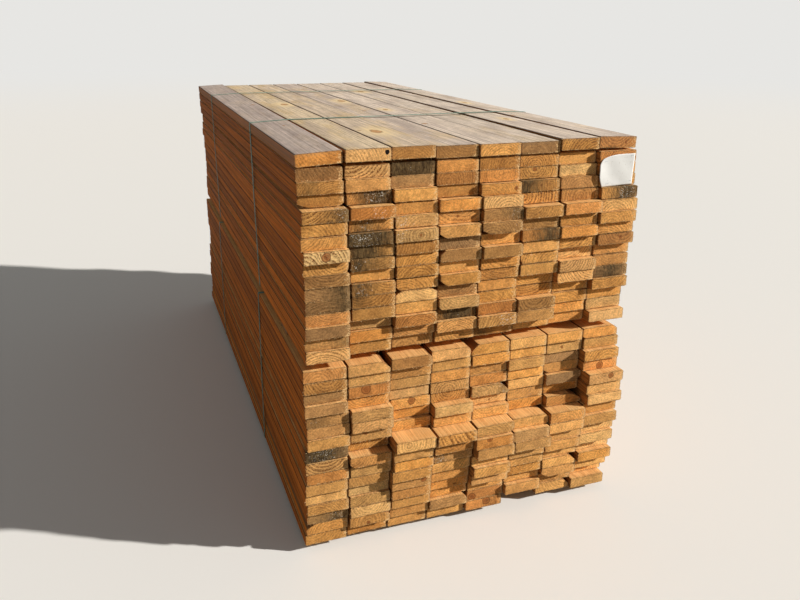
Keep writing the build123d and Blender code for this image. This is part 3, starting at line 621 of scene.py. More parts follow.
# A knot on a face: a brown heart in a dark ring. Paler wood is swept round the larger ones.
named_at = add_node(tree, "ShaderNodeAttribute", attribute_name="face_knot").outputs["Vector"]
named_xyz = add_node(tree, "ShaderNodeSeparateXYZ", {0: named_at})
named_x = add_node(tree, "ShaderNodeMath", {0: local_xyz.outputs["X"], 1: named_xyz.outputs["X"]}, operation="SUBTRACT")
named_y = add_node(tree, "ShaderNodeMath", {0: along, 1: named_xyz.outputs["Y"]}, operation="SUBTRACT")
named_y = add_node(tree, "ShaderNodeMath", {0: named_y.outputs[0], 1: 0.45}, operation="MULTIPLY")
named_far = add_node(tree, "ShaderNodeCombineXYZ", {0: named_x.outputs[0], 1: named_y.outputs[0]})
named_far = add_node(tree, "ShaderNodeVectorMath", {0: named_far.outputs[0]}, operation="LENGTH").outputs["Value"]
named_far = add_node(tree, "ShaderNodeMath", {0: branch_wave.outputs["Fac"], 1: 0.012, 2: named_far},
                     operation="MULTIPLY_ADD")
named_share = add_node(tree, "ShaderNodeMath", {0: named_far.outputs[0], 1: 0.006}, operation="SUBTRACT")
named_share = add_node(tree, "ShaderNodeMath", {0: named_share.outputs[0], 1: named_xyz.outputs["Z"]}, operation="DIVIDE")
branch_share = add_node(tree, "ShaderNodeMath", {0: branch_far, 1: branch_size.outputs[0]}, operation="DIVIDE")
branch_share = add_node(tree, "ShaderNodeMix", {0: branch_on.outputs[0], 2: 9.0, 3: branch_share.outputs[0]})
share = add_node(tree, "ShaderNodeMath", {0: branch_share.outputs[0], 1: named_share.outputs[0]}, operation="MINIMUM")
heart = add_node(tree, "ShaderNodeValToRGB", {0: share.outputs[0]})
heart.color_ramp.elements[0].position = 0.0
heart.color_ramp.elements[0].color = linear("#8A5630")
heart.color_ramp.elements[1].position = 1.0
heart.color_ramp.elements[1].color = linear("#6E4424")
for place, shade in ((0.3, "#B87C44"), (0.6, "#C68E54"), (0.82, "#9A6236")):
    heart.color_ramp.elements.new(place).color = linear(shade)
heart_mask = add_node(tree, "ShaderNodeMapRange", {
    "Value": share.outputs[0], "From Min": 1.25, "From Max": 0.85, "To Min": 0.0, "To Max": 0.8})
heart_mask = add_node(tree, "ShaderNodeMath", {0: heart_mask.outputs[0], 1: wide}, operation="MULTIPLY")
halo = add_node(tree, "ShaderNodeMapRange", {
    "Value": named_share.outputs[0], "From Min": 4.5, "From Max": 1.2, "To Min": 0.0, "To Max": 1.9})
halo = add_node(tree, "ShaderNodeMath", {0: halo.outputs[0], 1: streaks}, operation="MULTIPLY")
halo = add_node(tree, "ShaderNodeMath", {0: halo.outputs[0], 1: wide}, operation="MULTIPLY")
halo_on = add_node(tree, "ShaderNodeMath", {0: named_xyz.outputs["Z"], 1: 0.006}, operation="GREATER_THAN")
halo = add_node(tree, "ShaderNodeMath", {0: halo.outputs[0], 1: halo_on.outputs[0]}, operation="MULTIPLY")
face_wood = add_node(tree, "ShaderNodeMix", {0: halo.outputs[0], 6: face_wood.outputs[2], 7: linear("#F2D6A6")},
                     data_type="RGBA")
face_wood = add_node(tree, "ShaderNodeMix", {0: heart_mask.outputs[0], 6: face_wood.outputs[2],
                                             7: heart.outputs["Color"]}, data_type="RGBA")

# The top course's ends are grey where rain ran over their upper edge.
drip = add_node(tree, "ShaderNodeMapRange", {
    "Value": local_xyz.outputs["Z"], "From Min": 0.006, "From Max": 0.019, "To Min": 0.0, "To Max": 0.5})
drip = add_node(tree, "ShaderNodeMath", {0: drip.outputs[0], 1: bleached}, operation="MULTIPLY")
drip = add_node(tree, "ShaderNodeMath", {0: drip.outputs[0], 1: broad}, operation="MULTIPLY")
end_wood = add_node(tree, "ShaderNodeMix", {0: drip.outputs[0], 6: end_wood.outputs[2], 7: linear("#80705A")},
                    data_type="RGBA")
# A knot on an end: the branch's own rings inside a dark bark line. One has fallen out; its hole is painted near black,
# painted shade in place of a real hole.
knot_share = add_node(tree, "ShaderNodeMath", {0: knot_far, 1: knot_size}, operation="DIVIDE")
knot_shade = add_node(tree, "ShaderNodeValToRGB", {0: knot_share.outputs[0]})
knot_shade.color_ramp.elements[0].position = 0.0
knot_shade.color_ramp.elements[0].color = linear("#4F2610")
knot_shade.color_ramp.elements[1].position = 1.0
knot_shade.color_ramp.elements[1].color = linear("#43210F")
for place, shade in ((0.2, "#9A5628"), (0.42, "#6E3818"), (0.6, "#AC6832"), (0.82, "#8A4C24")):
    knot_shade.color_ramp.elements.new(place).color = linear(shade)
knot_shade = add_node(tree, "ShaderNodeMix", {0: knot_gone, 6: knot_shade.outputs["Color"], 7: linear("#120703")},
                      data_type="RGBA")
end_wood = add_node(tree, "ShaderNodeMix", {0: knot_mask, 6: end_wood.outputs[2], 7: knot_shade.outputs[2]},
                    data_type="RGBA")
# The worn rim between an end and a wide face is darkened by dust and painted joint shade.
rim = add_node(tree, "ShaderNodeMapRange", {
    "Value": sawn, "From Min": 0.9, "From Max": 0.6, "To Min": 0.0, "To Max": 1.0})
rim_off = add_node(tree, "ShaderNodeMapRange", {
    "Value": sawn, "From Min": 0.1, "From Max": 0.4, "To Min": 0.0, "To Max": 1.0})
rim = add_node(tree, "ShaderNodeMath", {0: rim.outputs[0], 1: rim_off.outputs[0]}, operation="MULTIPLY")
rim_edge = add_node(tree, "ShaderNodeMath", {0: narrow, 1: 0.7}, operation="MULTIPLY")
rim_edge = add_node(tree, "ShaderNodeMath", {0: eased_z.outputs[0], 1: rim_edge.outputs[0]}, operation="MAXIMUM")
rim = add_node(tree, "ShaderNodeMath", {0: rim.outputs[0], 1: rim_edge.outputs[0]}, operation="MULTIPLY")
rim_dust_and_shade = add_node(tree, "ShaderNodeMapRange", {
    "Value": fuzz, "From Min": 0.42, "From Max": 0.58, "To Min": 0.1, "To Max": 1.0})
rim = add_node(tree, "ShaderNodeMath", {0: rim.outputs[0], 1: rim_dust_and_shade.outputs[0]}, operation="MULTIPLY")
wood = add_node(tree, "ShaderNodeMix", {0: sawn, 6: face_wood.outputs[2], 7: end_wood.outputs[2]}, data_type="RGBA")
wood = add_node(tree, "ShaderNodeMix", {0: rim.outputs[0], 6: wood.outputs[2], 7: linear("#2E1A0C")},
                data_type="RGBA")

# Mould darkens an end in blots, thickest where it gathers. Dry fluff and torn fibres leave white specks.
gather = add_node(tree, "ShaderNodeMath", {0: local_xyz.outputs["X"], 1: soil_xyz.outputs["Z"]}, operation="SUBTRACT")
gather = add_node(tree, "ShaderNodeMath", {0: gather.outputs[0]}, operation="ABSOLUTE")
gather = add_node(tree, "ShaderNodeMapRange", {
    "Value": gather.outputs[0], "From Min": 0.0, "From Max": 0.09, "To Min": 0.32, "To Max": -0.18})
blots = add_node(tree, "ShaderNodeVectorMath", {0: own, 1: (150.0, 40.0, 45.0)}, operation="MULTIPLY")
blots = add_node(tree, "ShaderNodeTexNoise", {"Vector": blots.outputs[0], "Scale": 1.0, "Detail": 6.0,
                                              "Roughness": 0.75})
blots = add_node(tree, "ShaderNodeMath", {0: blots.outputs["Fac"], 1: gather.outputs[0]}, operation="ADD")
blots = add_node(tree, "ShaderNodeMath", {0: soil_xyz.outputs["X"], 1: 0.85, 2: blots.outputs[0]},
                 operation="MULTIPLY_ADD")
blots = add_node(tree, "ShaderNodeMapRange", {
    "Value": blots.outputs[0], "From Min": 0.72, "From Max": 1.3, "To Min": 0.0, "To Max": 0.95})
near_end = add_node(tree, "ShaderNodeMapRange", {
    "Value": along, "From Min": 0.05, "From Max": 0.0, "To Min": 0.0, "To Max": 1.0})
blots = add_node(tree, "ShaderNodeMath", {0: blots.outputs[0], 1: near_end.outputs[0]}, operation="MULTIPLY")
mould_on = add_node(tree, "ShaderNodeMath", {0: soil_xyz.outputs["X"], 1: 0.01}, operation="GREATER_THAN")
blots = add_node(tree, "ShaderNodeMath", {0: blots.outputs[0], 1: mould_on.outputs[0]}, operation="MULTIPLY")
runs = add_node(tree, "ShaderNodeVectorMath", {0: own, 1: (170.0, 60.0, 70.0)}, operation="MULTIPLY")
runs = add_node(tree, "ShaderNodeTexNoise", {"Vector": runs.outputs[0], "Scale": 1.0, "Detail": 6.0,
                                             "Roughness": 0.75})
runs = add_node(tree, "ShaderNodeMapRange", {
    "Value": runs.outputs["Fac"], "From Min": 0.42, "From Max": 0.7, "To Min": 0.0, "To Max": 1.0})
mould_shade = add_node(tree, "ShaderNodeMix", {0: runs.outputs[0], 6: linear("#241B0E"), 7: linear("#75603E")},
                       data_type="RGBA")
wood = add_node(tree, "ShaderNodeMix", {0: blots.outputs[0], 6: wood.outputs[2], 7: mould_shade.outputs[2]},
                data_type="RGBA")
crumbs = add_node(tree, "ShaderNodeVectorMath", {0: own, 1: (190.0, 60.0, 310.0)}, operation="MULTIPLY")
crumbs = add_node(tree, "ShaderNodeTexNoise", {"Vector": crumbs.outputs[0], "Scale": 1.0, "Detail": 2.0,
                                               "Distortion": 1.2})
crumb_dot = add_node(tree, "ShaderNodeMapRange", {
    "Value": crumbs.outputs["Fac"], "From Min": 0.6, "From Max": 0.67, "To Min": 0.0, "To Max": 1.0})
crumb_field = add_node(tree, "ShaderNodeTexNoise", {"Vector": own, "Scale": 75.0, "Detail": 2.0})
crumb_field = add_node(tree, "ShaderNodeMath", {0: crumb_field.outputs["Fac"], 1: gather.outputs[0]}, operation="ADD")
crumb_field = add_node(tree, "ShaderNodeMath", {0: soil_xyz.outputs["Y"], 1: 0.4, 2: crumb_field.outputs[0]},
                       operation="MULTIPLY_ADD")
crumb_field = add_node(tree, "ShaderNodeMapRange", {
    "Value": crumb_field.outputs[0], "From Min": 0.88, "From Max": 1.12, "To Min": 0.0, "To Max": 1.0})
specks = add_node(tree, "ShaderNodeMath", {0: crumb_dot.outputs[0], 1: crumb_field.outputs[0]}, operation="MULTIPLY")
specks = add_node(tree, "ShaderNodeMath", {0: specks.outputs[0], 1: near_end.outputs[0]}, operation="MULTIPLY")
specks_on = add_node(tree, "ShaderNodeMath", {0: soil_xyz.outputs["Y"], 1: 0.01}, operation="GREATER_THAN")
specks = add_node(tree, "ShaderNodeMath", {0: specks.outputs[0], 1: specks_on.outputs[0]}, operation="MULTIPLY")
wood = add_node(tree, "ShaderNodeMix", {0: specks.outputs[0], 6: wood.outputs[2], 7: linear("#EDE8DA")},
                data_type="RGBA")

# Saw marks 3 mm apart cross the ends, and late wood stands a little proud of early wood.
marks = add_node(tree, "ShaderNodeMath", {0: wobble.outputs["Fac"], 1: 0.02, 2: local_xyz.outputs["X"]},
                 operation="MULTIPLY_ADD")
marks = add_node(tree, "ShaderNodeMath", {0: marks.outputs[0], 1: 2100.0}, operation="MULTIPLY")
marks = add_node(tree, "ShaderNodeMath", {0: marks.outputs[0]}, operation="SINE")
marks = add_node(tree, "ShaderNodeMath", {0: marks.outputs[0], 1: sawn}, operation="MULTIPLY")
relief = add_node(tree, "ShaderNodeMath", {0: marks.outputs[0], 1: 0.25, 2: late}, operation="MULTIPLY_ADD")
relief = add_node(tree, "ShaderNodeMath", {0: grit, 1: 1.2, 2: relief.outputs[0]}, operation="MULTIPLY_ADD")
relief = add_node(tree, "ShaderNodeMath", {0: fine, 1: 0.5, 2: relief.outputs[0]}, operation="MULTIPLY_ADD")
bump = add_node(tree, "ShaderNodeBump", {"Height": relief.outputs[0], "Strength": 0.6, "Distance": 0.0004})
dryness = add_node(tree, "ShaderNodeMapRange", {
    "Value": late, "From Min": 0.0, "From Max": 1.0, "To Min": 0.85, "To Max": 0.7})
shader = add_node(tree, "ShaderNodeBsdfPrincipled", {
    "Base Color": wood.outputs[2], "Roughness": dryness.outputs[0], "Normal": bump.outputs[0], "IOR": 1.5,
    "Specular IOR Level": 0.15})
add_node(tree, "ShaderNodeOutputMaterial", {0: shader.outputs[0]})

# Torn fibres: raw wood pulled out by the trimming saw, the palest wood on the stack.
torn_wood, tree = new_material("torn_wood_fibre")
place = add_node(tree, "ShaderNodeTexCoord").outputs["Object"]
shade = add_node(tree, "ShaderNodeTexNoise", {"Vector": place, "Scale": 40.0})
shade = add_node(tree, "ShaderNodeMix", {0: shade.outputs["Fac"], 6: linear("#C58C4E"), 7: linear("#F0D6A4")},
                 data_type="RGBA")
shader = add_node(tree, "ShaderNodeBsdfPrincipled", {"Base Color": shade.outputs[2], "Roughness": 0.8})
add_node(tree, "ShaderNodeOutputMaterial", {0: shader.outputs[0]})

# Geometry Nodes lay a blank at each board's place, hollow its faces a little and fray its ends.
lay = bpy.data.node_groups.new("laid_course", "GeometryNodeTree")
lay.interface.new_socket("Geometry", in_out="INPUT", socket_type="NodeSocketGeometry")
lay_inputs = {
    "Blanks": lay.interface.new_socket("Blanks", in_out="INPUT", socket_type="NodeSocketCollection"),
    "Hollowing": lay.interface.new_socket("Hollowing", in_out="INPUT", socket_type="NodeSocketFloat"),
    "Chip Depth": lay.interface.new_socket("Chip Depth", in_out="INPUT", socket_type="NodeSocketFloat"),
    "Fibre Density": lay.interface.new_socket("Fibre Density", in_out="INPUT", socket_type="NodeSocketFloat"),
    "Fibre Length": lay.interface.new_socket("Fibre Length", in_out="INPUT", socket_type="NodeSocketFloat"),
    "Fibre Radius": lay.interface.new_socket("Fibre Radius", in_out="INPUT", socket_type="NodeSocketFloat"),
    "Seed": lay.interface.new_socket("Seed", in_out="INPUT", socket_type="NodeSocketInt"),
}
lay.interface.new_socket("Geometry", in_out="OUTPUT", socket_type="NodeSocketGeometry")
given = add_node(lay, "NodeGroupInput")
turn = add_node(lay, "GeometryNodeInputNamedAttribute", {"Name": "turn"}, data_type="FLOAT_VECTOR")
turn = add_node(lay, "FunctionNodeEulerToRotation", {0: turn.outputs[0]})
blank = add_node(lay, "GeometryNodeInputNamedAttribute", {"Name": "blank"}, data_type="INT")
blanks = add_node(lay, "GeometryNodeCollectionInfo", {
    "Collection": given.outputs["Blanks"], "Separate Children": True, "Reset Children": True})
boards = add_node(lay, "GeometryNodeInstanceOnPoints", {
    "Points": given.outputs["Geometry"], "Instance": blanks.outputs[0], "Pick Instance": True,
    "Instance Index": blank.outputs[0], "Rotation": turn.outputs[0]})
boards = add_node(lay, "GeometryNodeRealizeInstances", {"Geometry": boards.outputs[0]})
where = add_node(lay, "GeometryNodeInputPosition")
seed_shift = add_node(lay, "ShaderNodeCombineXYZ", {1: given.outputs["Seed"]})
where = add_node(lay, "ShaderNodeVectorMath", {0: where.outputs[0], 1: seed_shift.outputs[0]}, operation="ADD")
hollow = add_node(lay, "ShaderNodeTexNoise", {"Vector": where.outputs[0], "Scale": 23.0, "Detail": 2.0})
hollow = add_node(lay, "ShaderNodeMath", {0: hollow.outputs[0], 1: given.outputs["Hollowing"]}, operation="MULTIPLY")
# The outermost ring of an end reads 0.75, halfway from the sawn face to the rim. Chips break it back.
cut_edge = add_node(lay, "GeometryNodeInputNamedAttribute", {"Name": "sawn"}, data_type="FLOAT")
cut_edge = add_node(lay, "FunctionNodeCompare", {0: cut_edge.outputs[0], 1: 0.75, "Epsilon": 0.06},
                    data_type="FLOAT", operation="EQUAL")
chips = add_node(lay, "ShaderNodeTexNoise", {"Vector": where.outputs[0], "Scale": 130.0, "Detail": 1.0})
chips = add_node(lay, "ShaderNodeMapRange", {
    "Value": chips.outputs[0], "From Min": 0.48, "From Max": 0.72, "To Min": 0.0, "To Max": 1.0})
chips = add_node(lay, "ShaderNodeMath", {0: chips.outputs[0], 1: cut_edge.outputs[0]}, operation="MULTIPLY")
hollow = add_node(lay, "ShaderNodeMath", {0: chips.outputs[0], 1: given.outputs["Chip Depth"], 2: hollow.outputs[0]},
                  operation="MULTIPLY_ADD")
hollow = add_node(lay, "ShaderNodeMath", {0: hollow.outputs[0], 1: -1.0}, operation="MULTIPLY")
outward = add_node(lay, "GeometryNodeInputNormal")
inward = add_node(lay, "ShaderNodeVectorMath", {0: outward.outputs[0], 3: hollow.outputs[0]}, operation="SCALE")
boards = add_node(lay, "GeometryNodeSetPosition", {"Geometry": boards.outputs[0], "Offset": inward.outputs[0]})
rim = add_node(lay, "GeometryNodeInputNamedAttribute", {"Name": "sawn"}, data_type="FLOAT")
rim = add_node(lay, "FunctionNodeCompare", {0: rim.outputs[0], 1: 0.5, "Epsilon": 0.1},
               data_type="FLOAT", operation="EQUAL")
roots = add_node(lay, "GeometryNodeDistributePointsOnFaces", {
    "Mesh": boards.outputs[0], "Selection": rim.outputs[0], "Density": given.outputs["Fibre Density"],
    "Seed": given.outputs["Seed"]})
fibre = add_node(lay, "GeometryNodeMeshCone", {
    "Vertices": 3, "Radius Top": 0.0, "Radius Bottom": given.outputs["Fibre Radius"],
    "Depth": given.outputs["Fibre Length"]}, fill_type="NONE")
spread = add_node(lay, "FunctionNodeRandomValue", {0: (-0.9, -0.9, -0.9), 1: (0.9, 0.9, 0.9)},
                  data_type="FLOAT_VECTOR")
lie = add_node(lay, "FunctionNodeRotateRotation", {0: roots.outputs["Rotation"]}, rotation_space="LOCAL")
tilt = add_node(lay, "FunctionNodeEulerToRotation", {0: spread.outputs[0]})
lay.links.new(tilt.outputs[0], lie.inputs[1])
size = add_node(lay, "FunctionNodeRandomValue", {2: 0.3, 3: 1.5, "Seed": 3}, data_type="FLOAT")
fibres = add_node(lay, "GeometryNodeInstanceOnPoints", {
    "Points": roots.outputs["Points"], "Instance": fibre.outputs[0], "Rotation": lie.outputs[0],
    "Scale": size.outputs[1]})
fibres = add_node(lay, "GeometryNodeRealizeInstances", {"Geometry": fibres.outputs[0]})
boards = add_node(lay, "GeometryNodeSetMaterial", {"Geometry": boards.outputs[0], "Material": softwood})
fibres = add_node(lay, "GeometryNodeSetMaterial", {"Geometry": fibres.outputs[0], "Material": torn_wood})
both = add_node(lay, "GeometryNodeJoinGeometry")
lay.links.new(fibres.outputs[0], both.inputs[0])
lay.links.new(boards.outputs[0], both.inputs[0])
add_node(lay, "NodeGroupOutput", {0: both.outputs[0]})

# Every course is read first, so that boards of one shape share a blank.
blank_shelf = bpy.data.collections.new("board_blanks")
scene.collection.children.link(blank_shelf)
blank_numbers = {}
courses = {}
for pack in PACKS:
    for number in range(1, COURSES + 1):
        node = f"{pack}_course_{number:02d}"
        courses[node] = laid_boards(node)
        for board in courses[node]:
            shape = tuple(round(c * 4000) for end in board["ends"] for p in end for c in p)
            if shape not in blank_numbers:
                blank_numbers[shape] = len(blank_numbers)
                name = f"blank_{blank_numbers[shape]:03d}"
                blank_shelf.objects.link(board_blank(name, board["ends"], board["length"]))
            board["blank"] = blank_numbers[shape]

chance = random.Random(LAY_SEED)
for pack in PACKS:
    for number in range(1, COURSES + 1):
        node = f"{pack}_course_{number:02d}"
        from_top = COURSES + 1 - number
        places = bpy.data.meshes.new(f"{node}_places")
        places.from_pydata([tuple(b["middle"]) for b in courses[node]], [], [])
        rows = {"turn": [], "pith": [], "lean": [], "tone": [], "soil": [], "end_knot": [],
                "weathered": [], "face_knot": []}
        bold_rings = []
        levels = []
        top_course = pack == "upper" and from_top == 1
        for column, board in enumerate(courses[node], 1):
            key = (pack, from_top, column)
            side = chance.choice((-1, 1))
            by_chance = (chance.uniform(-70, 70), side * chance.uniform(25, 95), chance.uniform(6.5, 10.5))
            px, pz, gap = PITH.get(key, by_chance)
            grey = GREYED.get(key, chance.random() ** 3 * 0.3)
            rows["turn"] += list(board["turn"])
            rows["pith"] += [px / 1000, pz / 1000, gap / 1000]
            rows["lean"] += [chance.uniform(-0.012, 0.012), chance.uniform(-0.012, 0.012), chance.random() * 9]
            rows["tone"] += [grey, REDDISH.get(key, chance.random() ** 2 * 0.25),
                             PALE.get(key, chance.random() * (0.35 if pack == "lower" else 0.15))]
            gathered = GATHERED_AT.get(key, chance.uniform(-50, 50)) / 1000
            rows["soil"] += [MOULDED.get(key, 0.0), SPECKED.get(key, 0.0), gathered]
            rows["end_knot"] += [c / 1000 for c in END_KNOTS.get(key, (0, 0, 0))]
            rows["weathered"] += linear(TOP_TONES[column - 1])[:3]
            rows["face_knot"] += [c / 1000 for c in TOP_KNOTS[column - 1]] if top_course else [0, -9, 0.001]
            bold_rings.append(BOLD_RINGS.get(key, chance.uniform(*RING_CONTRAST[pack])))
            low, high = BOARD_LEVEL[pack]
            level = chance.uniform(low, high) + 0.25 * PALE.get(key, 0.0)
            levels.append(level * (1 + BRIGHTER_BY_COLUMN * (column - (COLUMNS + 1) / 2)))
        for name, values in rows.items():
            places.attributes.new(name, "FLOAT_VECTOR", "POINT").data.foreach_set("vector", values)
        places.attributes.new("bold", "FLOAT", "POINT").data.foreach_set("value", bold_rings)
        places.attributes.new("level", "FLOAT", "POINT").data.foreach_set("value", levels)
        places.attributes.new("yellowed", "FLOAT", "POINT").data.foreach_set("value", TOP_YELLOWED)
        on_top = [float(top_course)] * COLUMNS
        places.attributes.new("bleached", "FLOAT", "POINT").data.foreach_set("value", on_top)
        outermost = [-1.0] + [0.0] * (COLUMNS - 2) + [1.0]
        places.attributes.new("outer", "FLOAT", "POINT").data.foreach_set("value", outermost)
        numbers = [b["blank"] for b in courses[node]]
        places.attributes.new("blank", "INT", "POINT").data.foreach_set("value", numbers)
        course = bpy.data.objects.new(f"{node}_boards", places)
        scene.collection.objects.link(course)
        modifier = course.modifiers.new("lay", "NODES")
        modifier.node_group = lay
        modifier[lay_inputs["Blanks"].identifier] = blank_shelf
        modifier[lay_inputs["Hollowing"].identifier] = HOLLOWING * 2
        modifier[lay_inputs["Chip Depth"].identifier] = CHIP_DEPTH
        modifier[lay_inputs["Fibre Density"].identifier] = float(FIBRES_PER_SQUARE_METRE)
        modifier[lay_inputs["Fibre Length"].identifier] = FIBRE_LENGTH
        modifier[lay_inputs["Fibre Radius"].identifier] = FIBRE_RADIUS
        modifier[lay_inputs["Seed"].identifier] = number + (100 if pack == "upper" else 0)
        evaluated = course.evaluated_get(bpy.context.evaluated_depsgraph_get())
        finished = bpy.data.meshes.new_from_object(evaluated)
        course.modifiers.clear()
        course.data = finished
        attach(course, "root")
        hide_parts(node)
for blank in list(blank_shelf.objects):
    bpy.data.objects.remove(blank)
bpy.data.collections.remove(blank_shelf)

# Spacer strips
# Rough-sawn softwood one inch thick, laid across the pack before the boards go on.
# They keep the slings' and the air's gap under each pack, and are grey with dust.
rough_wood, tree = new_material("rough_sawn_softwood")
place = add_node(tree, "ShaderNodeTexCoord").outputs["Object"]
drawn = add_node(tree, "ShaderNodeVectorMath", {0: place, 1: (6.0, 240.0, 240.0)}, operation="MULTIPLY")
grain = add_node(tree, "ShaderNodeTexNoise", {"Vector": drawn.outputs[0], "Scale": 1.0, "Detail": 3.0})
dust = add_node(tree, "ShaderNodeTexNoise", {"Vector": place, "Scale": 14.0, "Detail": 3.0})
raw = add_node(tree, "ShaderNodeMix", {0: grain.outputs["Fac"], 6: linear("#8A5A2E"), 7: linear("#B88A56")},
               data_type="RGBA")
raw = add_node(tree, "ShaderNodeMix", {0: dust.outputs["Fac"], 6: raw.outputs[2], 7: linear("#8C7A60")},
               data_type="RGBA")
bump = add_node(tree, "ShaderNodeBump", {"Height": grain.outputs["Fac"], "Strength": 0.8, "Distance": 0.0006})
shader = add_node(tree, "ShaderNodeBsdfPrincipled", {
    "Base Color": raw.outputs[2], "Roughness": 0.88, "Normal": bump.outputs[0]})
add_node(tree, "ShaderNodeOutputMaterial", {0: shader.outputs[0]})
for pack in PACKS:
    for number in (1, 2, 3):
        strip = frame["nodes"][f"{pack}_strip_{number}"]
        strip.data.materials.clear()
        strip.data.materials.append(rough_wood)

# Straps
# Polyester band 16 mm wide, pale green and a little clear, drawn tight round each pack
# by a tensioner. Its faces carry a fine pressed diamond pattern and pale scuffs.
polyester, tree = new_material("green_polyester_strap")
place = add_node(tree, "ShaderNodeTexCoord").outputs["Object"]
scuffs = add_node(tree, "ShaderNodeTexNoise", {"Vector": place, "Scale": 30.0, "Detail": 4.0})
band = add_node(tree, "ShaderNodeValToRGB", {0: scuffs.outputs["Fac"]})
band.color_ramp.elements[0].position = 0.35
band.color_ramp.elements[0].color = linear("#4F6B5C")
band.color_ramp.elements[1].position = 0.7
band.color_ramp.elements[1].color = linear("#84A08C")
pressed = add_node(tree, "ShaderNodeVectorMath", {0: place, 1: (900.0, 900.0, 900.0)}, operation="MULTIPLY")
diamonds = add_node(tree, "ShaderNodeTexVoronoi", {"Vector": pressed.outputs[0], "Scale": 1.0})
bump = add_node(tree, "ShaderNodeBump", {"Height": diamonds.outputs["Distance"], "Strength": 0.4, "Distance": 0.0002})
shader = add_node(tree, "ShaderNodeBsdfPrincipled", {
    "Base Color": band.outputs["Color"], "Roughness": 0.6, "Normal": bump.outputs[0], "IOR": 1.57,
    "Specular IOR Level": 0.3})
add_node(tree, "ShaderNodeOutputMaterial", {0: shader.outputs[0]})
for pack in PACKS:
    for number in (1, 2):
        strap = frame["nodes"][f"{pack}_strap_{number}"]
        strap.data.materials.clear()
        strap.data.materials.append(polyester)

# Tag
# A sheet of card stapled over three board ends, blank here. Its corners at the left have worn
# back, and its left side has curled off the wood between the staples.
TAG_COLUMNS = 30
TAG_ROWS = 26
TAG_STAND = 0.0004
# How far the left side has worn back, in mm, at each depth below the top, in mm.
LEFT_WEAR = ((0, 12.5), (8, 6.5), (18, 1.2), (24, 0), (64, 0), (76, 2.5), (86, 6), (104, 12.5))
LEFT_SHIFT = 0.009
RIGHT_WEAR = 0.006
TOP_WEAR = 0.014
TOP_WEAR_POWER = 4.5
BOTTOM_RISE = 0.003
CURL = 0.006
CURLED_SHARE = 0.4
low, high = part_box("tag")
width = high.x - low.x
height = high.z - low.z
tag_shell = bmesh.new()


def tag_point(u, v):
    # A point of the sheet, u of the way across from the left and v of the way up.
    depth = (1 - v) * height * 1000
    for (d0, w0), (d1, w1) in zip(LEFT_WEAR, LEFT_WEAR[1:]):
        if d0 <= depth <= d1:
            worn = w0 + (w1 - w0) * (depth - d0) / (d1 - d0)
    left = low.x - LEFT_SHIFT + worn / 1000
    right = high.x - RIGHT_WEAR * (1 - 0.5 * v) ** 2
    top = high.z - TOP_WEAR * (1 - u) ** TOP_WEAR_POWER
    bottom = low.z + BOTTOM_RISE * u
    lift = CURL * max(0.0, 1 - u / CURLED_SHARE) ** 2 * (0.4 + 0.6 * math.sin(math.pi * v))
    lift += 0.0008 * math.sin(5 * u + 3 * v) ** 2
    return Vector((left + (right - left) * u, low.y - TAG_STAND - lift, bottom + (top - bottom) * v))


grid = []
for j in range(TAG_ROWS + 1):
    grid.append([tag_shell.verts.new(tag_point(i / TAG_COLUMNS, j / TAG_ROWS)) for i in range(TAG_COLUMNS + 1)])
for j in range(TAG_ROWS):
    for i in range(TAG_COLUMNS):
        tag_shell.faces.new((grid[j][i], grid[j][i + 1], grid[j + 1][i + 1], grid[j + 1][i]))
tag_mesh = bpy.data.meshes.new("tag_card")
tag_shell.to_mesh(tag_mesh)
tag_shell.free()
tag_mesh.shade_smooth()
tag = bpy.data.objects.new("tag_card", tag_mesh)
scene.collection.objects.link(tag)
thicken = tag.modifiers.new("thickness", "SOLIDIFY")
thicken.thickness = 0.0003
thicken.offset = 0.0
card, tree = new_material("coated_card")
place = add_node(tree, "ShaderNodeTexCoord").outputs["Object"]
dirt = add_node(tree, "ShaderNodeTexNoise", {"Vector": place, "Scale": 110.0, "Detail": 5.0, "Roughness": 0.7})
paper = add_node(tree, "ShaderNodeValToRGB", {0: dirt.outputs["Fac"]})
paper.color_ramp.elements[0].position = 0.3
paper.color_ramp.elements[0].color = linear("#A8A294")
paper.color_ramp.elements[1].position = 0.4
paper.color_ramp.elements[1].color = linear("#E6E5E1")
creases = add_node(tree, "ShaderNodeTexNoise", {"Vector": place, "Scale": 45.0, "Detail": 3.0})
bump = add_node(tree, "ShaderNodeBump", {"Height": creases.outputs["Fac"], "Strength": 0.5, "Distance": 0.0008})
shader = add_node(tree, "ShaderNodeBsdfPrincipled", {
    "Base Color": paper.outputs["Color"], "Roughness": 0.6, "Normal": bump.outputs[0]})
add_node(tree, "ShaderNodeOutputMaterial", {0: shader.outputs[0]})
tag.data.materials.append(card)
evaluated = tag.evaluated_get(bpy.context.evaluated_depsgraph_get())
thick_sheet = bpy.data.meshes.new_from_object(evaluated)
tag.modifiers.clear()
tag.data = thick_sheet
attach(tag, "root")
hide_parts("tag")

# Staples
# Galvanised steel wire driven by a staple gun, one near each corner of the tag.
# Only the crowns show. They lie a little askew, since each was shot by hand.
STAPLES_AT = ((0.16, 0.86), (0.92, 0.93), (0.2, 0.1), (0.93, 0.12))
CROWN = 0.011
WIRE = 0.0011
galvanised, tree = new_material("galvanised_steel")
place = add_node(tree, "ShaderNodeTexCoord").outputs["Object"]
bloom = add_node(tree, "ShaderNodeTexNoise", {"Vector": place, "Scale": 900.0, "Detail": 2.0})
zinc = add_node(tree, "ShaderNodeMix", {0: bloom.outputs["Fac"], 6: linear("#8E9194"), 7: linear("#BFC2C4")},
                data_type="RGBA")
shader = add_node(tree, "ShaderNodeBsdfPrincipled", {
    "Base Color": zinc.outputs[2], "Metallic": 1.0, "Roughness": 0.45})
add_node(tree, "ShaderNodeOutputMaterial", {0: shader.outputs[0]})
shot = bpy.data.node_groups.new("shot_staples", "GeometryNodeTree")
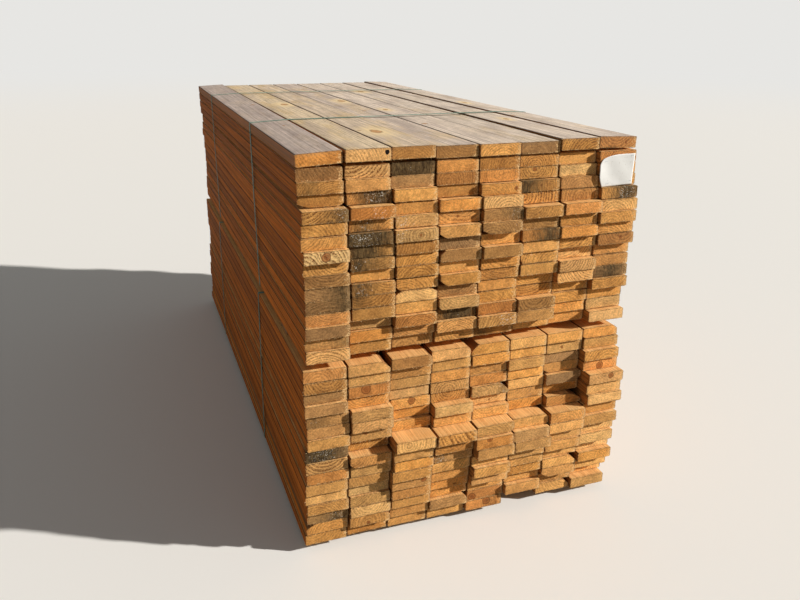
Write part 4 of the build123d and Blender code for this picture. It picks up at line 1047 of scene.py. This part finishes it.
shot.interface.new_socket("Geometry", in_out="INPUT", socket_type="NodeSocketGeometry")
shot_inputs = {
    "Crown": shot.interface.new_socket("Crown", in_out="INPUT", socket_type="NodeSocketFloat"),
    "Wire": shot.interface.new_socket("Wire", in_out="INPUT", socket_type="NodeSocketFloat"),
    "Seed": shot.interface.new_socket("Seed", in_out="INPUT", socket_type="NodeSocketInt"),
}
shot.interface.new_socket("Geometry", in_out="OUTPUT", socket_type="NodeSocketGeometry")
given = add_node(shot, "NodeGroupInput")
crown_end = add_node(shot, "ShaderNodeMath", {0: given.outputs["Crown"], 1: 0.5}, operation="MULTIPLY")
crown_start = add_node(shot, "ShaderNodeMath", {0: crown_end.outputs[0], 1: -1.0}, operation="MULTIPLY")
crown_end = add_node(shot, "ShaderNodeCombineXYZ", {0: crown_end.outputs[0]})
crown_start = add_node(shot, "ShaderNodeCombineXYZ", {0: crown_start.outputs[0]})
crown = add_node(shot, "GeometryNodeCurvePrimitiveLine", {"Start": crown_start.outputs[0], "End": crown_end.outputs[0]})
wire_radius = add_node(shot, "ShaderNodeMath", {0: given.outputs["Wire"], 1: 0.5}, operation="MULTIPLY")
wire = add_node(shot, "GeometryNodeCurvePrimitiveCircle", {"Resolution": 8, "Radius": wire_radius.outputs[0]})
crown = add_node(shot, "GeometryNodeCurveToMesh", {
    "Curve": crown.outputs[0], "Profile Curve": wire.outputs[0], "Fill Caps": True})
askew = add_node(shot, "FunctionNodeRandomValue", {0: (0.0, -0.35, 0.0), 1: (0.0, 0.35, 0.0),
                                                   "Seed": given.outputs["Seed"]}, data_type="FLOAT_VECTOR")
crowns = add_node(shot, "GeometryNodeInstanceOnPoints", {
    "Points": given.outputs["Geometry"], "Instance": crown.outputs[0], "Rotation": askew.outputs[0]})
crowns = add_node(shot, "GeometryNodeRealizeInstances", {"Geometry": crowns.outputs[0]})
crowns = add_node(shot, "GeometryNodeSetMaterial", {"Geometry": crowns.outputs[0], "Material": galvanised})
add_node(shot, "NodeGroupOutput", {0: crowns.outputs[0]})
staple_places = bpy.data.meshes.new("staple_places")
proud = Vector((0.0, -WIRE / 2, 0.0))
staple_places.from_pydata([tuple(tag_point(u, v) + proud) for u, v in STAPLES_AT], [], [])
staples = bpy.data.objects.new("tag_staples", staple_places)
scene.collection.objects.link(staples)
modifier = staples.modifiers.new("shoot", "NODES")
modifier.node_group = shot
modifier[shot_inputs["Crown"].identifier] = CROWN
modifier[shot_inputs["Wire"].identifier] = WIRE
modifier[shot_inputs["Seed"].identifier] = 5
evaluated = staples.evaluated_get(bpy.context.evaluated_depsgraph_get())
shot_crowns = bpy.data.meshes.new_from_object(evaluated)
staples.modifiers.clear()
staples.data = shot_crowns
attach(staples, "root")

# Floor
# A plain pale studio floor that fades into a white surround.
FLOOR_SIZE = 60.0
floor_shell = bmesh.new()
bmesh.ops.create_grid(floor_shell, x_segments=1, y_segments=1, size=FLOOR_SIZE / 2)
floor_mesh = bpy.data.meshes.new("floor")
floor_shell.to_mesh(floor_mesh)
floor_shell.free()
floor = bpy.data.objects.new("floor", floor_mesh)
scene.collection.objects.link(floor)
studio, tree = new_material("pale_studio_floor")
rays = add_node(tree, "ShaderNodeLightPath")
seen = add_node(tree, "ShaderNodeMath", {0: rays.outputs["Is Camera Ray"], 1: rays.outputs["Is Glossy Ray"]},
                operation="MAXIMUM")
seen = add_node(tree, "ShaderNodeMath", {0: seen.outputs[0], 1: rays.outputs["Is Transmission Ray"]},
                operation="MAXIMUM")
paint = add_node(tree, "ShaderNodeMix", {0: seen.outputs[0], 6: linear("#8F8A82"), 7: linear("#F2F0EC")},
                 data_type="RGBA")
shader = add_node(tree, "ShaderNodeBsdfPrincipled", {"Base Color": paint.outputs[2], "Roughness": 0.9})
# Beyond 6 m the floor fades into the backdrop's own pale tone.
place = add_node(tree, "ShaderNodeTexCoord").outputs["Object"]
away = add_node(tree, "ShaderNodeVectorMath", {0: place}, operation="LENGTH").outputs["Value"]
fade = add_node(tree, "ShaderNodeMapRange", {
    "Value": away, "From Min": 6.0, "From Max": 26.0, "To Min": 0.0, "To Max": 1.0},
    interpolation_type="SMOOTHERSTEP")
fade = add_node(tree, "ShaderNodeMath", {0: fade.outputs[0], 1: seen.outputs[0]}, operation="MULTIPLY")
backdrop = add_node(tree, "ShaderNodeEmission", {"Color": linear("#F2F1EE"), "Strength": 0.9})
shader = add_node(tree, "ShaderNodeMixShader", {0: fade.outputs[0], 1: shader.outputs[0], 2: backdrop.outputs[0]})
add_node(tree, "ShaderNodeOutputMaterial", {0: shader.outputs[0]})
floor.data.materials.append(studio)

# Light
# A soft key from the upper right in front, low enough to rake across the ends, and an even
# surround that fills the shaded side.
KEY_DIRECTION = Vector((-2.1, 1.05, -1.1))
KEY_STRENGTH = 5.3
KEY_ANGLE = 1.5
FILL_STRENGTH = 0.2
lamp = bpy.data.lights.new("key", "SUN")
lamp.energy = KEY_STRENGTH
lamp.angle = math.radians(KEY_ANGLE)
lamp.color = (1.0, 0.97, 0.92)
key = bpy.data.objects.new("key", lamp)
key.rotation_euler = KEY_DIRECTION.to_track_quat("-Z", "Y").to_euler()
scene.collection.objects.link(key)
world = bpy.data.worlds.new("surround")
world.use_nodes = True
tree = world.node_tree
tree.nodes.clear()
rays = add_node(tree, "ShaderNodeLightPath")
seen = add_node(tree, "ShaderNodeMath", {0: rays.outputs["Is Camera Ray"], 1: rays.outputs["Is Glossy Ray"]},
                operation="MAXIMUM")
seen = add_node(tree, "ShaderNodeMath", {0: seen.outputs[0], 1: rays.outputs["Is Transmission Ray"]},
                operation="MAXIMUM")
level = add_node(tree, "ShaderNodeMapRange", {
    "Value": seen.outputs[0], "From Min": 0.0, "From Max": 1.0, "To Min": FILL_STRENGTH, "To Max": 0.9})
glow = add_node(tree, "ShaderNodeBackground", {"Color": linear("#F2F1EE"), "Strength": level.outputs[0]})
add_node(tree, "ShaderNodeOutputWorld", {0: glow.outputs[0]})
scene.world = world

# Camera
# The photograph's view: about 1.65 m up, in front of the tagged ends and to their left.
CAMERA_AT = Vector((-1.0108, -3.2365, 1.6542))
CAMERA_RIGHT = Vector((0.9424, -0.3344, 0.0039))
CAMERA_DOWN = Vector((-0.0899, -0.2648, -0.9601))
CAMERA_FORWARD = Vector((0.3221, 0.9045, -0.2796))
FOCAL_PIXELS = 753.0
PICTURE_WIDTH = 800
PICTURE_HEIGHT = 600
PRINCIPAL_POINT = (387.1, 241.7)
camera_data = bpy.data.cameras.new("camera")
camera_data.sensor_width = 36.0
camera_data.lens = FOCAL_PIXELS / PICTURE_WIDTH * camera_data.sensor_width
camera_data.shift_x = (PICTURE_WIDTH / 2 - PRINCIPAL_POINT[0]) / PICTURE_WIDTH
camera_data.shift_y = (PRINCIPAL_POINT[1] - PICTURE_HEIGHT / 2) / PICTURE_WIDTH
camera_data.clip_end = 100.0
camera = bpy.data.objects.new("camera", camera_data)
turned = Matrix((CAMERA_RIGHT, -CAMERA_DOWN, -CAMERA_FORWARD)).transposed().to_4x4()
camera.matrix_world = Matrix.Translation(CAMERA_AT) @ turned
scene.collection.objects.link(camera)
scene.camera = camera
scene.view_settings.view_transform = "Standard"
